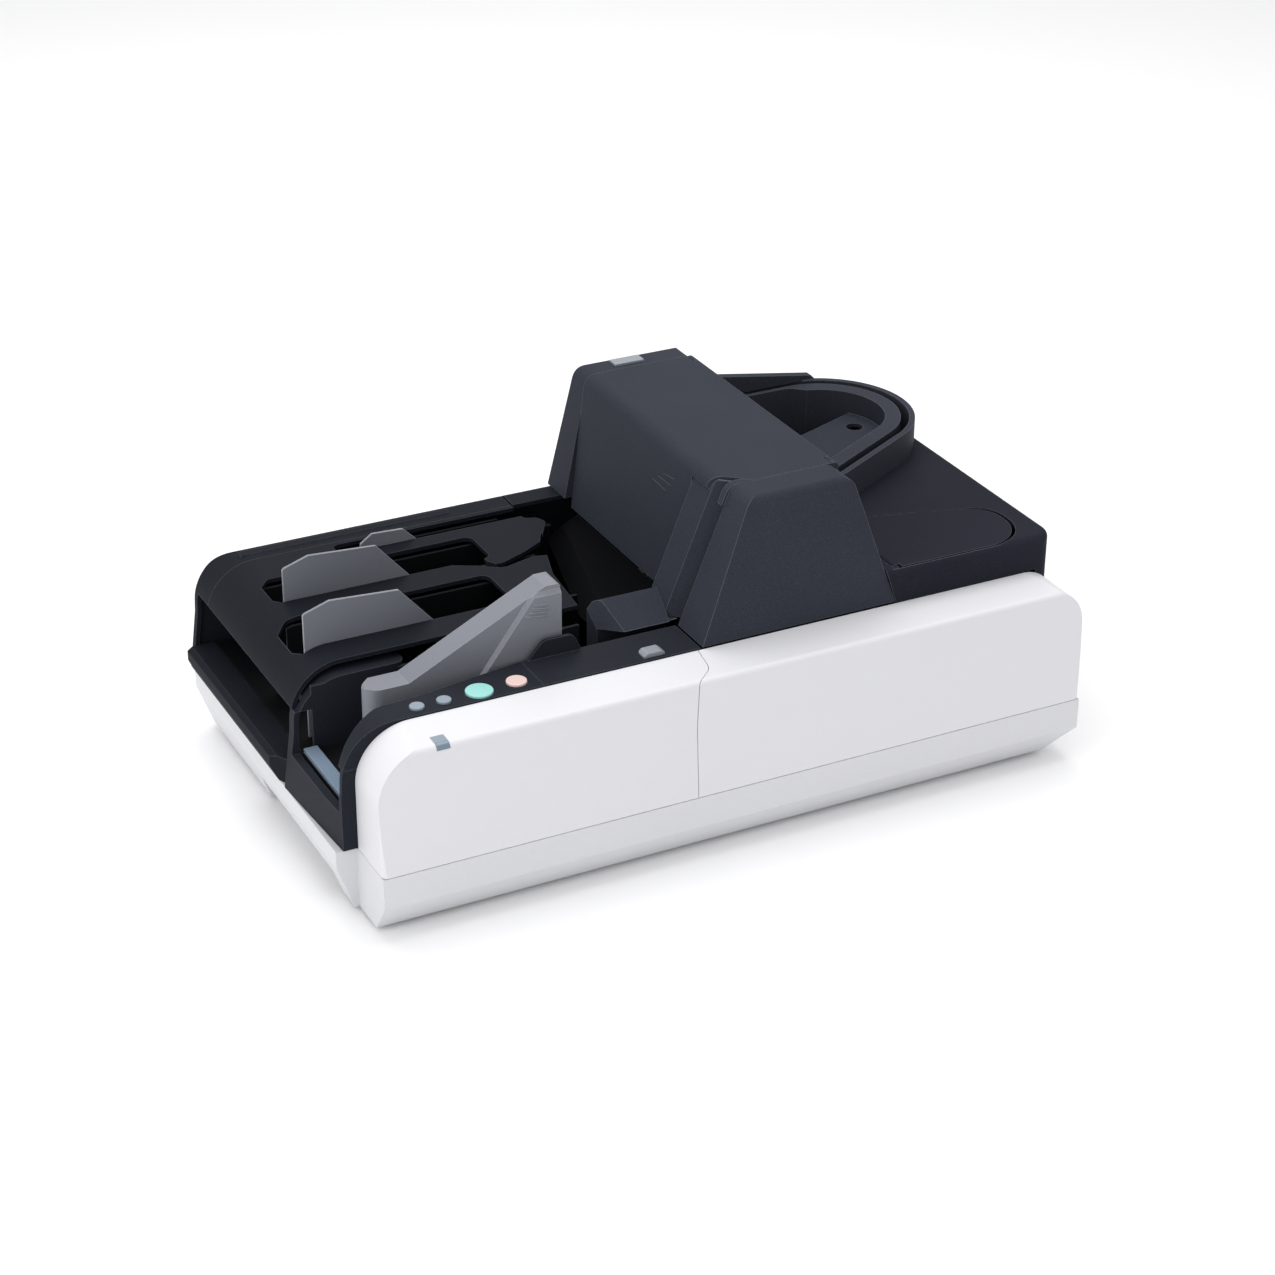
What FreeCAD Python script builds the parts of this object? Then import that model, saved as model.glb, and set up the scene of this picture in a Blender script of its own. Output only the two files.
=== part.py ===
import FreeCAD, Part
import math
import os

# Cheque scanner, millimetres. While it is built, X runs from the left end of the white
# covers, Y from their near face and Z from the underside of the tray; every piece is then
# moved so that the origin lies under the middle of the machine, on the surface it stands on.

# Driving dimensions
body_length = 500.0
body_width = 306.0
left_reach = 18.0
foot_height = 3.0
tray_height = 42.5
cover_depth = 40.0
rim_height = 124.0
panel_proud = 1.0
pocket_proud = 2.0
deck_rise = 24.0
track_rise = 21.0
hump_rise = 92.0
feed_level = 70.0
hump_left = 256.0
hump_right = 351.0
tower_far = 73.8
trim_depth = 27.7
trim_gap = 2.0

panel_height = rim_height + panel_proud
pocket_height = rim_height + pocket_proud
deck_height = rim_height + deck_rise
track_height = deck_height + track_rise
hump_height = rim_height + hump_rise

# Walls and clearances shared by the mouldings
wall = 3.0
thin_wall = 2.0
seam = 0.4
running_gap = 0.3
fit_gap = 0.05
overrun = 1.0
cover_foot = tray_height + seam
trim_far = body_width - wall - trim_gap
trim_near = trim_far - trim_depth


def vec(x, y, z):
    return FreeCAD.Vector(x, y, z)


def save(name, shape):
    """Move a piece from the building corner to the machine's origin and write it."""
    piece = shape.copy()
    piece.translate(vec((left_reach - body_length) / 2, -body_width / 2, foot_height))
    piece.exportStep("parts/" + name + ".step")


def block(x0, x1, y0, y1, z0, z1):
    return Part.makeBox(x1 - x0, y1 - y0, z1 - z0, vec(x0, y0, z0))


def upright_rod(x, y, z0, z1, radius):
    return Part.makeCylinder(radius, z1 - z0, vec(x, y, z0))


def cross_rod(x, z, y0, y1, radius):
    return Part.makeCylinder(radius, y1 - y0, vec(x, y0, z), vec(0, 1, 0))


def rounded_face(corners):
    """Face through (point, radius) corners, each rounded by its own arc."""
    places = [point for point, radius in corners]
    stops = []
    for number, (corner, radius) in enumerate(corners):
        if radius == 0:
            stops.append([corner])
            continue
        to_before = (places[number - 1] - corner).normalize()
        to_after = (places[(number + 1) % len(places)] - corner).normalize()
        half = to_before.getAngle(to_after) / 2
        reach = radius / math.tan(half)
        inward = (to_before + to_after).normalize()
        middle = corner + inward * (radius / math.sin(half) - radius)
        stops.append([corner + to_before * reach, middle, corner + to_after * reach])
    edges = []
    for number, stop in enumerate(stops):
        if len(stop) > 1:
            edges.append(Part.Arc(*stop).toShape())
        following = stops[(number + 1) % len(stops)][0]
        if not stop[-1].isEqual(following, fit_gap * fit_gap):
            edges.append(Part.makeLine(stop[-1], following))
    return Part.Face(Part.Wire(edges))


def radius_of(point):
    return point[2] if len(point) > 2 else 0


def plan_slab(points, z0, z1):
    corners = [(vec(p[0], p[1], z0), radius_of(p)) for p in points]
    return rounded_face(corners).extrude(vec(0, 0, z1 - z0))


def front_slab(points, y0, y1):
    corners = [(vec(p[0], y0, p[1]), radius_of(p)) for p in points]
    return rounded_face(corners).extrude(vec(0, y1 - y0, 0))


def end_slab(points, x0, x1):
    corners = [(vec(x0, p[0], p[1]), radius_of(p)) for p in points]
    return rounded_face(corners).extrude(vec(x1 - x0, 0, 0))


def beyond(point, normal, size):
    """Large block on the far side of the plane through a point."""
    slab = Part.makeBox(size, size, size, vec(-size / 2, -size / 2, 0))
    slab.Placement = FreeCAD.Placement(point, FreeCAD.Rotation(vec(0, 0, 1), normal))
    return slab


def join(shapes):
    whole = shapes[0]
    for shape in shapes[1:]:
        whole = whole.fuse(shape)
    return whole.removeSplitter()


# Base tray: white moulded tub whose sides draw in below a short upright band
tray_band = 21.5
tray_draw = 15.0
plinth_short = 17.0
apron_reach = 14.0
apron_foot = 3.0
apron_band = 12.0
apron_near = 42.0
apron_far = 300.0
foot_block_depth = 26.0
recess_near = 62.0
recess_far = 188.0
recess_height = 17.0
boss_radius = 6.0
chassis_level = 36.0
chassis_thickness = 2.5
pilot_radius = 1.5
boss_inset_x = 40.0
boss_inset_y = 34.0
boss_places = [(x, y)
               for x in (boss_inset_x, body_length / 2, body_length - boss_inset_x)
               for y in (boss_inset_y, body_width - boss_inset_y)]


def tray_section(inset, top):
    band = tray_height - tray_band
    return [(inset, top), (inset, band), (tray_draw + inset, inset),
            (body_width - tray_draw - inset, inset), (body_width - inset, band),
            (body_width - inset, top)]


def base_tray():
    band = tray_height - tray_band
    outer = end_slab(tray_section(0, tray_height), 0, body_length)
    under_end = front_slab([(body_length - plinth_short, -overrun),
                            (body_length + overrun, -overrun),
                            (body_length + overrun, band), (body_length, band)],
                           -overrun, body_width + overrun)
    apron = front_slab([(0, 0), (0, tray_height), (-apron_reach, tray_height),
                        (-apron_reach, tray_height - apron_band), (-apron_foot, 0)],
                       apron_near, apron_far)
    apron = apron.cut(block(-apron_reach - overrun, 0, -overrun, tray_draw + apron_near / 2, 0, band))
    recess = block(-apron_reach - overrun, foot_block_depth, recess_near, recess_far,
                   -overrun, recess_height)
    outer = outer.cut(under_end).fuse(apron).cut(recess)
    deep = end_slab(tray_section(wall, tray_height + overrun),
                    wall, body_length - plinth_short - wall)
    over_end = block(body_length - plinth_short - 2 * wall, body_length - wall,
                     wall, body_width - wall, band + wall, tray_height + overrun)
    recess_roof = block(0, foot_block_depth + wall, recess_near - wall, recess_far + wall,
                        0, recess_height + wall)
    tray = outer.cut(deep.fuse(over_end).cut(recess_roof))
    for x, y in boss_places:
        boss = upright_rod(x, y, wall / 2, chassis_level, boss_radius)
        pilot = upright_rod(x, y, wall, chassis_level + overrun, pilot_radius)
        tray = tray.fuse(boss).cut(pilot)
    return tray.removeSplitter()


# Rubber feet: four pads pressed under the tray's corners
pad_radius = 10.0
pad_left = 12.0
pad_right = 465.0
pad_inset = 34.0


def rubber_feet():
    return Part.makeCompound([upright_rod(x, y, -foot_height, 0, pad_radius)
                              for x in (pad_left, pad_right)
                              for y in (pad_inset, body_width - pad_inset)])


# Chassis plate and its screws: a steel plate on the tray's bosses carries the works
screw_clearance = 0.3
screw_head_radius = 3.6
screw_head_height = 2.2
screw_length = 12.0
roller_shaft_radius = 2.5
bush_clearance = 0.05
chassis_gap = 0.5
chassis_top = chassis_level + chassis_thickness


def chassis_plate(shaft_places):
    edge = wall + chassis_gap
    plate = block(edge, body_length - edge, edge, body_width - edge, chassis_level, chassis_top)
    for x, y in boss_places:
        hole = upright_rod(x, y, chassis_level - overrun, chassis_top + overrun,
                           pilot_radius + screw_clearance)
        plate = plate.cut(hole)
    for x, y in shaft_places:
        hole = upright_rod(x, y, chassis_level - overrun, chassis_top + overrun,
                           roller_shaft_radius + bush_clearance)
        plate = plate.cut(hole)
    return plate


def chassis_screws():
    screws = []
    for x, y in boss_places:
        head = upright_rod(x, y, chassis_top, chassis_top + screw_head_height, screw_head_radius)
        shank = upright_rod(x, y, chassis_top - screw_length, chassis_top,
                            pilot_radius - fit_gap)
        screws.append(head.fuse(shank).removeSplitter())
    return Part.makeCompound(screws)


# Near covers: two white L-shaped mouldings, a tall side that turns over a soft edge
soft_edge = 3.5
side_lean = 5.5
edge_drop = 1.5
side_edge_height = rim_height - edge_drop
left_round = 36.0
right_round = 24.0
corner_round = 4.0
seam_low = 213.2
seam_high = 232.6
seam_knee = 3.5
seam_bend_x = 229.0
seam_bend_y = 17.5
seam_turn = 14.0


def near_cover_form(inset, extra):
    side = end_slab([(inset, cover_foot - extra),
                     (side_lean + inset, side_edge_height - inset, soft_edge - inset),
                     (cover_depth + extra, rim_height - inset), (cover_depth + extra, cover_foot - extra)],
                    -overrun, body_length + overrun)
    top = rim_height + overrun
    front = front_slab([(inset, cover_foot - extra), (inset, rim_height - inset, left_round - inset),
                        (body_length - inset, rim_height - inset, right_round - inset),
                        (body_length - inset, cover_foot - extra)], -overrun, cover_depth + 2 * overrun)
    plan = plan_slab([(inset, inset, corner_round - inset),
                      (body_length - inset, inset, corner_round - inset),
                      (body_length - inset, cover_depth + extra), (inset, cover_depth + extra)],
                     cover_foot - extra, top)
    return side.common(front).common(plan)


def near_covers():
    shell = near_cover_form(0, 0).cut(near_cover_form(wall, overrun))

    def seam_side(shift):
        return plan_slab([(-overrun, -overrun), (seam_low + shift, -overrun),
                          (seam_low + shift, seam_knee), (seam_bend_x + shift, seam_bend_y, seam_turn),
                          (seam_high + shift, cover_depth + overrun),
                          (-overrun, cover_depth + overrun)], 0, hump_height)

    return shell.common(seam_side(-seam / 2)), shell.cut(seam_side(seam / 2))


# Status window: smoked insert let into the cover's soft edge
window_left = 39.4
window_right = 48.0
window_far = 16.0
window_drop = 4.8
window_proud = 0.2


def status_window_form(gap):
    return block(window_left - gap, window_right + gap, 0, window_far + gap,
                 rim_height - window_drop - gap, rim_height + overrun)


def status_window():
    skin = near_cover_form(-window_proud, 0).cut(near_cover_form(wall, overrun))
    return skin.common(status_window_form(0))


# Black end profile: the pocket side rounds over the left end and flares down to the lip
end_edge_drop = 25.0
end_knee_drop = 15.0
end_edge_height = rim_height - end_edge_drop
end_knee_height = end_edge_height - end_knee_drop
end_knee_reach = 9.0
end_top_reach = 7.0
end_foot_reach = 14.5
end_round = 35.0


def end_form(inset, top, right, y0, y1):
    """Solid that rounds over the left end, drawn in by a wall on its end and top."""
    return front_slab([(-end_foot_reach + inset, cover_foot), (-end_knee_reach + inset, end_knee_height),
                       (-end_top_reach + inset, top - inset, end_round - inset), (right, top - inset),
                       (right, cover_foot)], y0, y1)


def above(z):
    return block(-body_length, 2 * body_length, -overrun, 2 * body_width, z, 2 * hump_height)


def below(z):
    return block(-body_length, 2 * body_length, -overrun, 2 * body_width, 0, z)


# Far side cover: black wall along the far side with a rounded rim beside the pockets
rim_depth = 25.0
rim_inner = body_width - rim_depth
rim_round = 11.0
far_rise = 264.0
ledge_end = 171.0
ledge_inset = 4.0
ledge_rise = 0.8
ledge_start = 20.0
rim_gap_x = 214.0
rim_gap = 1.6


def far_side_cover(ports):
    def rim(inset, extra):
        return end_slab([(body_width - inset, 0),
                         (body_width - inset, pocket_height - inset, rim_round - inset),
                         (rim_inner - extra, pocket_height - inset), (rim_inner - extra, 0)],
                        -end_foot_reach - overrun, far_rise)

    outer = end_form(0, pocket_height, far_rise, rim_inner, body_width).common(rim(0, 0))
    inner = end_form(wall, pocket_height, far_rise + overrun, rim_inner - overrun, body_width + overrun)
    low = outer.cut(inner.common(rim(wall, overrun)))
    mouth = block(-left_reach, -end_top_reach + wall, 0, trim_far, 0, end_edge_height)
    high = block(far_rise, body_length, body_width - wall, body_width, cover_foot, deck_height)
    ledge_middle = body_width - rim_round - ledge_inset
    ledge = block(ledge_start, ledge_end, ledge_middle - wall, ledge_middle + wall,
                  pocket_height - wall / 2, pocket_height + ledge_rise)
    cover = join([low.cut(mouth), high, ledge])
    gap = block(rim_gap_x, rim_gap_x + rim_gap, rim_inner - overrun, body_width - wall, 0, hump_height)
    cover = cover.cut(gap)
    for port in ports:
        cover = cover.cut(port)
    return cover


def deck_form():
    """Block whose near and right top edges, and the corner between them, are rounded like the deck."""
    form = plan_slab([(0, deck_near), (body_length, deck_near, deck_corner), (body_length, body_width),
                      (0, body_width)], 0, deck_height)
    soft = [edge for edge in form.Edges
            if edge.BoundBox.ZMin > deck_height - fit_gap
            and edge.BoundBox.XMax > body_length - deck_corner - fit_gap
            and edge.BoundBox.YMin < deck_near + deck_corner + fit_gap]
    return form.makeFillet(deck_round, soft)


def right_end_cover():
    """End wall whose window shows the turn, with a top shelf at the far corner."""
    panel = block(body_length - wall, body_length, cover_depth + seam, body_width - wall - seam,
                  cover_foot, deck_height)
    near_corner = block(body_length - wall - overrun, body_length + overrun, 0,
                        cover_depth + deck_corner + 2 * seam, rim_height - right_round, deck_height + overrun)
    near_top = block(body_length - wall - overrun, body_length + overrun, 0, turn_y,
                     deck_height - wall - seam, deck_height + overrun)
    shelf = block(turn_x, body_length, turn_y, body_width - wall - seam, deck_height - wall, deck_height)
    cover = join([panel.cut(near_corner).cut(near_top), shelf])
    lower = cover.common(block(0, body_length, 0, body_width, 0, rim_height - right_round))
    cover = join([lower, cover.common(deck_form())])
    return cover.cut(turn_loop(outer_radius + seam, turn_x - overrun, turn_window_foot, hump_height))


# Pocket cover: black top with three long slots, rounding over the left end
pocket_cover_near = 126.0
pocket_cover_right = 190.0
finger_tip = [(pocket_cover_right, pocket_cover_near), (195.0, 173.0), (203.0, 199.0, 4.0),
              (213.0, 228.0, 4.0), (224.5, 247.0, 5.0), (222.0, 255.0, 5.0), (208.0, 260.5, 4.0),
              (214.0, 264.0)]
finger_split = [(137.0, 216.0), (157.0, 205.0), (168.0, 197.0), (172.0, 196.4), (194.0, 202.4),
                (212.0, 198.0), (222.0, 222.0), (214.0, 232.5), (208.0, 221.0), (192.7, 212.0),
                (173.9, 203.6), (167.5, 203.4), (164.0, 209.6), (164.0, 216.0)]
slot_round = 6.0
slot_1 = (6.0, 156.0, 149.0, 192.0)
slot_2 = (17.0, 169.0, 214.0, 249.0)
slot_3 = (80.0, 240.0, 262.0, 277.0)
slots = [slot_1, slot_2, slot_3]
slot_lead_share = 0.2
slot_bevel = 4.0


def slot_opening(slot):
    x0, x1, y0, y1 = slot
    lead = (y1 - y0) * slot_lead_share
    return plan_slab([(x0, y0 + lead), (x0 + slot_bevel, y0), (x1, y0, slot_round), (x1, y1, slot_round),
                      (x0 + lead, y1, slot_round), (x0, y1 - lead)], end_edge_height, pocket_height + overrun)


def pocket_cover():
    right = pocket_cover_right + left_round
    outer = end_form(0, pocket_height, right, pocket_cover_near, rim_inner - seam)
    inner = end_form(wall, pocket_height, right + overrun, pocket_cover_near - overrun, rim_inner)
    plan = plan_slab([(-left_reach, pocket_cover_near)] + finger_tip
                     + [(rim_gap_x, rim_inner), (-left_reach, rim_inner)], 0, hump_height)
    cover = outer.cut(inner).common(plan).common(above(end_edge_height))
    for slot in slots:
        cover = cover.cut(slot_opening(slot))
    return cover.cut(plan_slab(finger_split, end_edge_height, hump_height)).removeSplitter()


# Pocket tub: one moulding whose floor and six low walls hold the sorted cheques
tub_floor = 61.0
tub_left = 1.0
tub_right = 200.0
liner_drop = 4.5
liner_height = pocket_height - liner_drop
liner_left = 14.0
liner_gap = 0.6
liner_step = 2.0
rib_width = 4.0
rib_inset = 8.0
tub_rib_share = 0.7


def pocket_tub():
    liners = []
    for x0, x1, y0, y1 in slots:
        near_wall = y0 - liner_gap
        far_wall = y1 - liner_step
        for y in (near_wall - thin_wall, far_wall - thin_wall):
            liners.append(block(liner_left, tub_right, y, y + thin_wall, tub_floor - wall / 2, liner_height))
    under_cover = end_form(wall + seam, pocket_height, 2 * tub_right, 0, body_width)
    shapes = [liner.common(under_cover) for liner in liners]
    shapes.append(block(tub_left, tub_right, pocket_cover_near + seam, trim_far - wall,
                        tub_floor - wall, tub_floor))
    for y in (pocket_cover_near + wall, body_width * tub_rib_share, rim_inner):
        shapes.append(block(tub_left + rib_inset, tub_right, y, y + rib_width, chassis_top, tub_floor - wall))
    return join(shapes)


# Pocket guides: smoked plates that slide along the near wall of each pocket
guide_thickness = 1.6
guide_length = 90.0
guide_rise = 29.0
guide_height = pocket_height + guide_rise
guide_bevel_share = 0.28
guide_front_share = 0.2
guide_crown = 6.0
small_guide_rise = 10.0
small_guide_height = pocket_height + small_guide_rise
small_guide_length = 43.0
guide_foot_gap = 0.3
guide_lead = 5.5
small_guide_left = 95.0


def pocket_guide(left, length, near, top, drop):
    right = left + length
    face = [(left, tub_floor + guide_foot_gap), (left, top - guide_crown, thin_wall),
            (left + length * guide_front_share, top, thin_wall),
            (right - length * guide_bevel_share, top - drop, thin_wall),
            (right, pocket_height - wall), (right, tub_floor + guide_foot_gap)]
    return front_slab(face, near + running_gap, near + running_gap + guide_thickness)


def pocket_guides():
    guides = []
    for slot in slots[:2]:
        guides.append(pocket_guide(slot[0] + guide_lead, guide_length, slot[2],
                                   guide_height, guide_crown / 2))
    guides.append(pocket_guide(small_guide_left, small_guide_length, slot_3[2],
                               small_guide_height, thin_wall / 2))
    return guides


# End shelf: the lip that closes the pockets' left end below their open side
shelf_height = 60.5
shelf_nose_drop = 2.5
shelf_face = 7.0
shelf_near = 128.0
shelf_far = 300.6
shelf_chamfer = 18.0


def end_shelf():
    lip = front_slab([(tub_left - seam, cover_foot), (-end_foot_reach, cover_foot),
                      (-left_reach, shelf_height - shelf_nose_drop - shelf_face),
                      (-left_reach, shelf_height - shelf_nose_drop, thin_wall / 2),
                      (-end_foot_reach, shelf_height), (tub_left - seam, shelf_height)],
                     shelf_near, shelf_far)
    hollow = block(-end_knee_reach, tub_left + overrun, shelf_near + shelf_chamfer, shelf_far - wall,
                   cover_foot - overrun, shelf_height - wall)
    corner = plan_slab([(-left_reach - overrun, shelf_near - overrun),
                        (-end_knee_reach, shelf_near - overrun),
                        (-left_reach - overrun, shelf_near + shelf_chamfer)], 0, hump_height)
    return lip.cut(hollow).cut(corner)


# Feed end frame: the black sill and posts round the hopper's open left end
frame_near = cover_depth + seam
frame_far = 127.6
frame_post = 7.0
frame_near_post = 3.0
frame_tip_reach = 9.5
frame_return = 6.0
frame_wall = 3.5
frame_sill = 69.0


def feed_end_frame():
    right = 2 * end_round
    outer = end_form(0, panel_height, right, frame_near, frame_far)
    inner = end_form(frame_wall, panel_height, right + overrun, frame_near + frame_near_post,
                     frame_far + overrun)
    inner = inner.common(block(frame_wall - end_knee_reach, body_length, 0, body_width, 0, hump_height))
    plan = plan_slab([(-end_foot_reach, frame_far), (-frame_tip_reach, frame_near),
                      (frame_return, frame_near),
                      (frame_return, frame_far)], 0, hump_height)
    slab = outer.cut(inner).common(plan).common(below(end_edge_height - seam))
    window = block(-left_reach, 0, frame_near + frame_near_post, frame_far - frame_post,
                   frame_sill, end_edge_height + overrun)
    return slab.cut(window)


# Control panel: black strip that carries the keys and turns down over the left end
panel_right = 125.8
panel_wall = 3.0
sweep_near_x = 23.0
sweep_near_y = 60.5
sweep_far_x = 52.0
sweep_far_y = 62.5
sweep_round = 30.0
panel_sweep = [(-end_top_reach, frame_near + frame_post, 0), (sweep_near_x, sweep_near_y, sweep_round),
               (sweep_far_x, sweep_far_y, sweep_round)]
throat_near = 74.5
key_height = 1.4
key_travel = 0.8
key_skirt = 1.2
key_gap = 0.3
key_stem = 1.5
keys = {"jog_key": (45.6, 50.0, 4.75), "function_key": (63.4, 50.0, 4.75),
        "start_key": (87.2, 50.8, 8.8), "stop_key": (112.7, 52.0, 6.6)}


web_right = 34.0


def control_panel():
    outer = end_form(0, panel_height, panel_right, frame_near, throat_near)
    inner = end_form(panel_wall, panel_height, panel_right + overrun, frame_near - overrun,
                     throat_near + overrun)
    plan = plan_slab([(-left_reach, frame_near), (panel_right, frame_near), (panel_right, throat_near)]
                     + list(reversed(panel_sweep)) + [(-left_reach, frame_near + frame_post)],
                     0, hump_height)
    web = outer.common(block(-left_reach, web_right, frame_near, frame_near + wall, 0, hump_height))
    panel = outer.cut(inner).common(plan).fuse(web).common(above(end_edge_height))
    for x, y, radius in keys.values():
        panel = panel.cut(upright_rod(x, y, 0, hump_height, radius + key_gap))
    return panel.removeSplitter()


board_thickness = 1.6
board_left = 36.0
board_right = 124.5
board_near = 44.0
board_far = 58.0
board_top = 113.0
switch_size = 6.0
switch_height = 3.5


def key_cap(x, y, radius):
    under = panel_height - panel_wall
    crown = Part.makeCylinder(radius, key_height + panel_wall, vec(x, y, under))
    crown = crown.makeFillet(key_height / 2, [crown.Edges[0]])
    skirt = upright_rod(x, y, under - key_gap - key_skirt, under - key_gap, radius + key_skirt)
    neck = upright_rod(x, y, under - key_gap, under, radius)
    stem = upright_rod(x, y, board_top + switch_height + key_travel + running_gap,
                       under - key_gap - key_skirt, key_stem)
    return join([crown, neck, skirt, stem])


def key_board():
    shapes = [block(board_left, board_right, board_near, board_far,
                    board_top - board_thickness, board_top)]
    for x, y, radius in keys.values():
        shapes.append(block(x - switch_size / 2, x + switch_size / 2, y - switch_size / 2,
                            y + switch_size / 2, board_top, board_top + switch_height))
    for x in (board_left, board_right - rib_width):
        shapes.append(block(x, x + rib_width, board_near, board_near + rib_width,
                            board_top, panel_height - panel_wall))
    return join(shapes)


# Access strip: the second black strip, with the release button and a raised feed guard
strip_left = panel_right + seam
strip_right = 234.5
release_x = 204.0
release_y = 48.0
release_length = 15.0
release_width = 9.0
release_rise = 2.8
release_end = 2.5
release_edge = 0.8
release_flange = 1.5
guard_left = 130.0
guard_right = 167.0
guard_rise = 12.0
guard_height = panel_height + guard_rise
guard_thickness = 2.0
guard_lean = 11.0


def access_strip():
    strip = block(strip_left, strip_right, frame_near, throat_near, panel_height - panel_wall, panel_height)
    guard = front_slab([(guard_left, panel_height), (guard_left + guard_lean, guard_height, slot_round),
                        (guard_right - guard_lean / 2, guard_height, slot_round),
                        (guard_right, panel_height)], throat_near - guard_thickness, throat_near)
    hole = block(release_x - release_length / 2 - key_gap, release_x + release_length / 2 + key_gap,
                 release_y - release_width / 2 - key_gap, release_y + release_width / 2 + key_gap,
                 0, hump_height)
    return join([strip, guard]).cut(hole)


def release_button():
    under = panel_height - panel_wall
    half_x = release_length / 2
    half_y = release_width / 2
    top = panel_height + release_rise
    left = release_x - half_x
    right = release_x + half_x
    plan = plan_slab([(left, release_y - half_y, key_height), (right, release_y - half_y, key_height),
                      (right, release_y + half_y, key_height), (left, release_y + half_y, key_height)],
                     under - key_gap, top)
    side = front_slab([(left, under - key_gap), (left, panel_height + release_edge),
                       (left + release_end, top, release_end), (right - release_end, top, release_end),
                       (right, panel_height + release_edge), (right, under - key_gap)],
                      release_y - half_y, release_y + half_y)
    cap = plan.common(side)
    flange = block(release_x - half_x - release_flange, release_x + half_x + release_flange,
                   release_y - half_y - release_flange, release_y + half_y + release_flange,
                   under - key_gap - release_flange, under - key_gap)
    return join([cap, flange])


# Hopper: a tray whose near wall swings out to the left, a far wall and a rest bar
hopper_left = -4.2
hopper_right = 232.0
hopper_far = 119.0
feed_wall_thickness = 2.0
feed_wall_top = panel_height - panel_wall - running_gap
roller_window_low = 80.0
roller_window_high = 112.0
foot_slot_left = 96.0
foot_slot_right = 104.4
foot_slot_near = 82.0
rail_radius = 3.0
rail_level = 54.0
rail_post = 5.0


def hopper_edge(shift):
    """Far side of the hopper's near wall, from the left end to the throat."""
    near = frame_near + frame_post
    return [(hopper_left, near - shift), (sweep_near_x, sweep_near_y - shift, sweep_round),
            (sweep_far_x, sweep_far_y - shift, sweep_round),
            (panel_right, throat_near - shift), (hopper_right, throat_near - shift)]


def hopper_tray(windows):
    floor = plan_slab(hopper_edge(0) + [(hopper_right, chute_near - seam),
                                        (chute_left - seam, chute_near - seam),
                                        (chute_left - seam, hopper_far), (hopper_left, hopper_far)],
                      feed_level - wall, feed_level)
    near_wall = plan_slab(hopper_edge(0) + list(reversed(hopper_edge(feed_wall_thickness))),
                          feed_level - wall, feed_wall_top)
    end_relief = block(hopper_left - overrun, left_round, 0, hopper_far,
                       end_edge_height - wall - thin_wall, feed_wall_top + overrun)
    shapes = [floor, near_wall.cut(end_relief)]
    for x in (left_round, panel_right, chute_left - slot_round - rail_post):
        shapes.append(block(x, x + rail_post, throat_near, hopper_far, chassis_top, feed_level - wall))
    shapes.append(block(hopper_right - rail_post, hopper_right, throat_near, chute_near - seam,
                        chassis_top, feed_level - wall))
    for y in (foot_slot_near - 2 * rail_post, hopper_far - rail_post):
        shapes.append(block(foot_slot_left - rail_post, foot_slot_right + rail_post, y, y + rail_post,
                            rail_level - 2 * rail_post, feed_level - wall))
    tray = join(shapes)
    tray = tray.cut(block(foot_slot_left, foot_slot_right, foot_slot_near, hopper_far - rail_post,
                          feed_level - wall - overrun, feed_level + overrun))
    middle = (foot_slot_left + foot_slot_right) / 2
    tray = tray.cut(cross_rod(middle, rail_level, foot_slot_near - 2 * rail_post - overrun,
                              hopper_far + overrun, rail_radius + fit_gap))
    tray = tray.cut(upright_rod(feed_x, retard_y, feed_level - wall - overrun, feed_level + overrun,
                                roller_shaft_radius + running_gap))
    for window in windows:
        tray = tray.cut(window)
    return tray


def pusher_rail():
    middle = (foot_slot_left + foot_slot_right) / 2
    return cross_rod(middle, rail_level, foot_slot_near - 2 * rail_post, hopper_far, rail_radius)


hopper_wall_near = 119.4
ridge_drop = 7.0
ridge_height = panel_height - ridge_drop
ridge_far = 134.0
ridge_tip = 67.0
ridge_wall_right = 188.0
ridge_inset = 1.0


def hopper_wall():
    ridge_top = ridge_height + ridge_inset
    outer = end_form(ridge_inset, ridge_top, ridge_tip, hopper_wall_near, ridge_far)
    inner = end_form(wall + ridge_inset, ridge_top, ridge_tip + overrun, hopper_wall_near - overrun,
                     ridge_far + overrun)
    tip = plan_slab([(-left_reach, hopper_wall_near), (ridge_tip, hopper_wall_near, slot_round),
                     (ridge_tip, ridge_far, slot_round), (0, ridge_far), (0, pocket_cover_near - seam),
                     (-left_reach, pocket_cover_near - seam)], 0, hump_height)
    ledge = outer.cut(inner).common(tip).common(above(end_edge_height))
    web = block(wall + chassis_gap, ridge_wall_right, hopper_wall_near, hopper_wall_near + thin_wall,
                chassis_top, ridge_height - wall)
    lap = end_form(wall, ridge_top, ridge_tip, hopper_wall_near, hopper_wall_near + thin_wall)
    return join([ledge, web, lap.common(below(ridge_height - wall)).common(above(end_edge_height))])


rest_bar_left = -3.6
rest_bar_width = 9.0
rest_bar_height = 3.0
rest_bar_near = 53.0


def feed_rest_bar():
    return block(rest_bar_left, rest_bar_left + rest_bar_width, rest_bar_near,
                 hopper_far - running_gap, feed_level, feed_level + rest_bar_height)


# Feed pusher: light grey wedge that presses the cheques against the feed wall
pusher_near = 80.0
pusher_thickness = 18.0
pusher_left = 26.0
pusher_right = 156.0
pusher_drop = 0.5
pusher_rise = 46.0
pusher_low = panel_height - pusher_drop
pusher_high = pusher_low + pusher_rise
pusher_rise_start = 53.0
pusher_rise_end = 146.0
pusher_skin = 2.5
pusher_turn = 12.8
pusher_back = 7.0
grip_left = 64.0
grip_lean = 75.0
grip_blend = 2.5
grip_top = 5.5
grip_bulge = 2.2
grip_round = 12.0
carriage_left = 90.0
carriage_right = 110.0
carriage_low = 46.0
carriage_near = 84.0
carriage_length = 10.0


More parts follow.
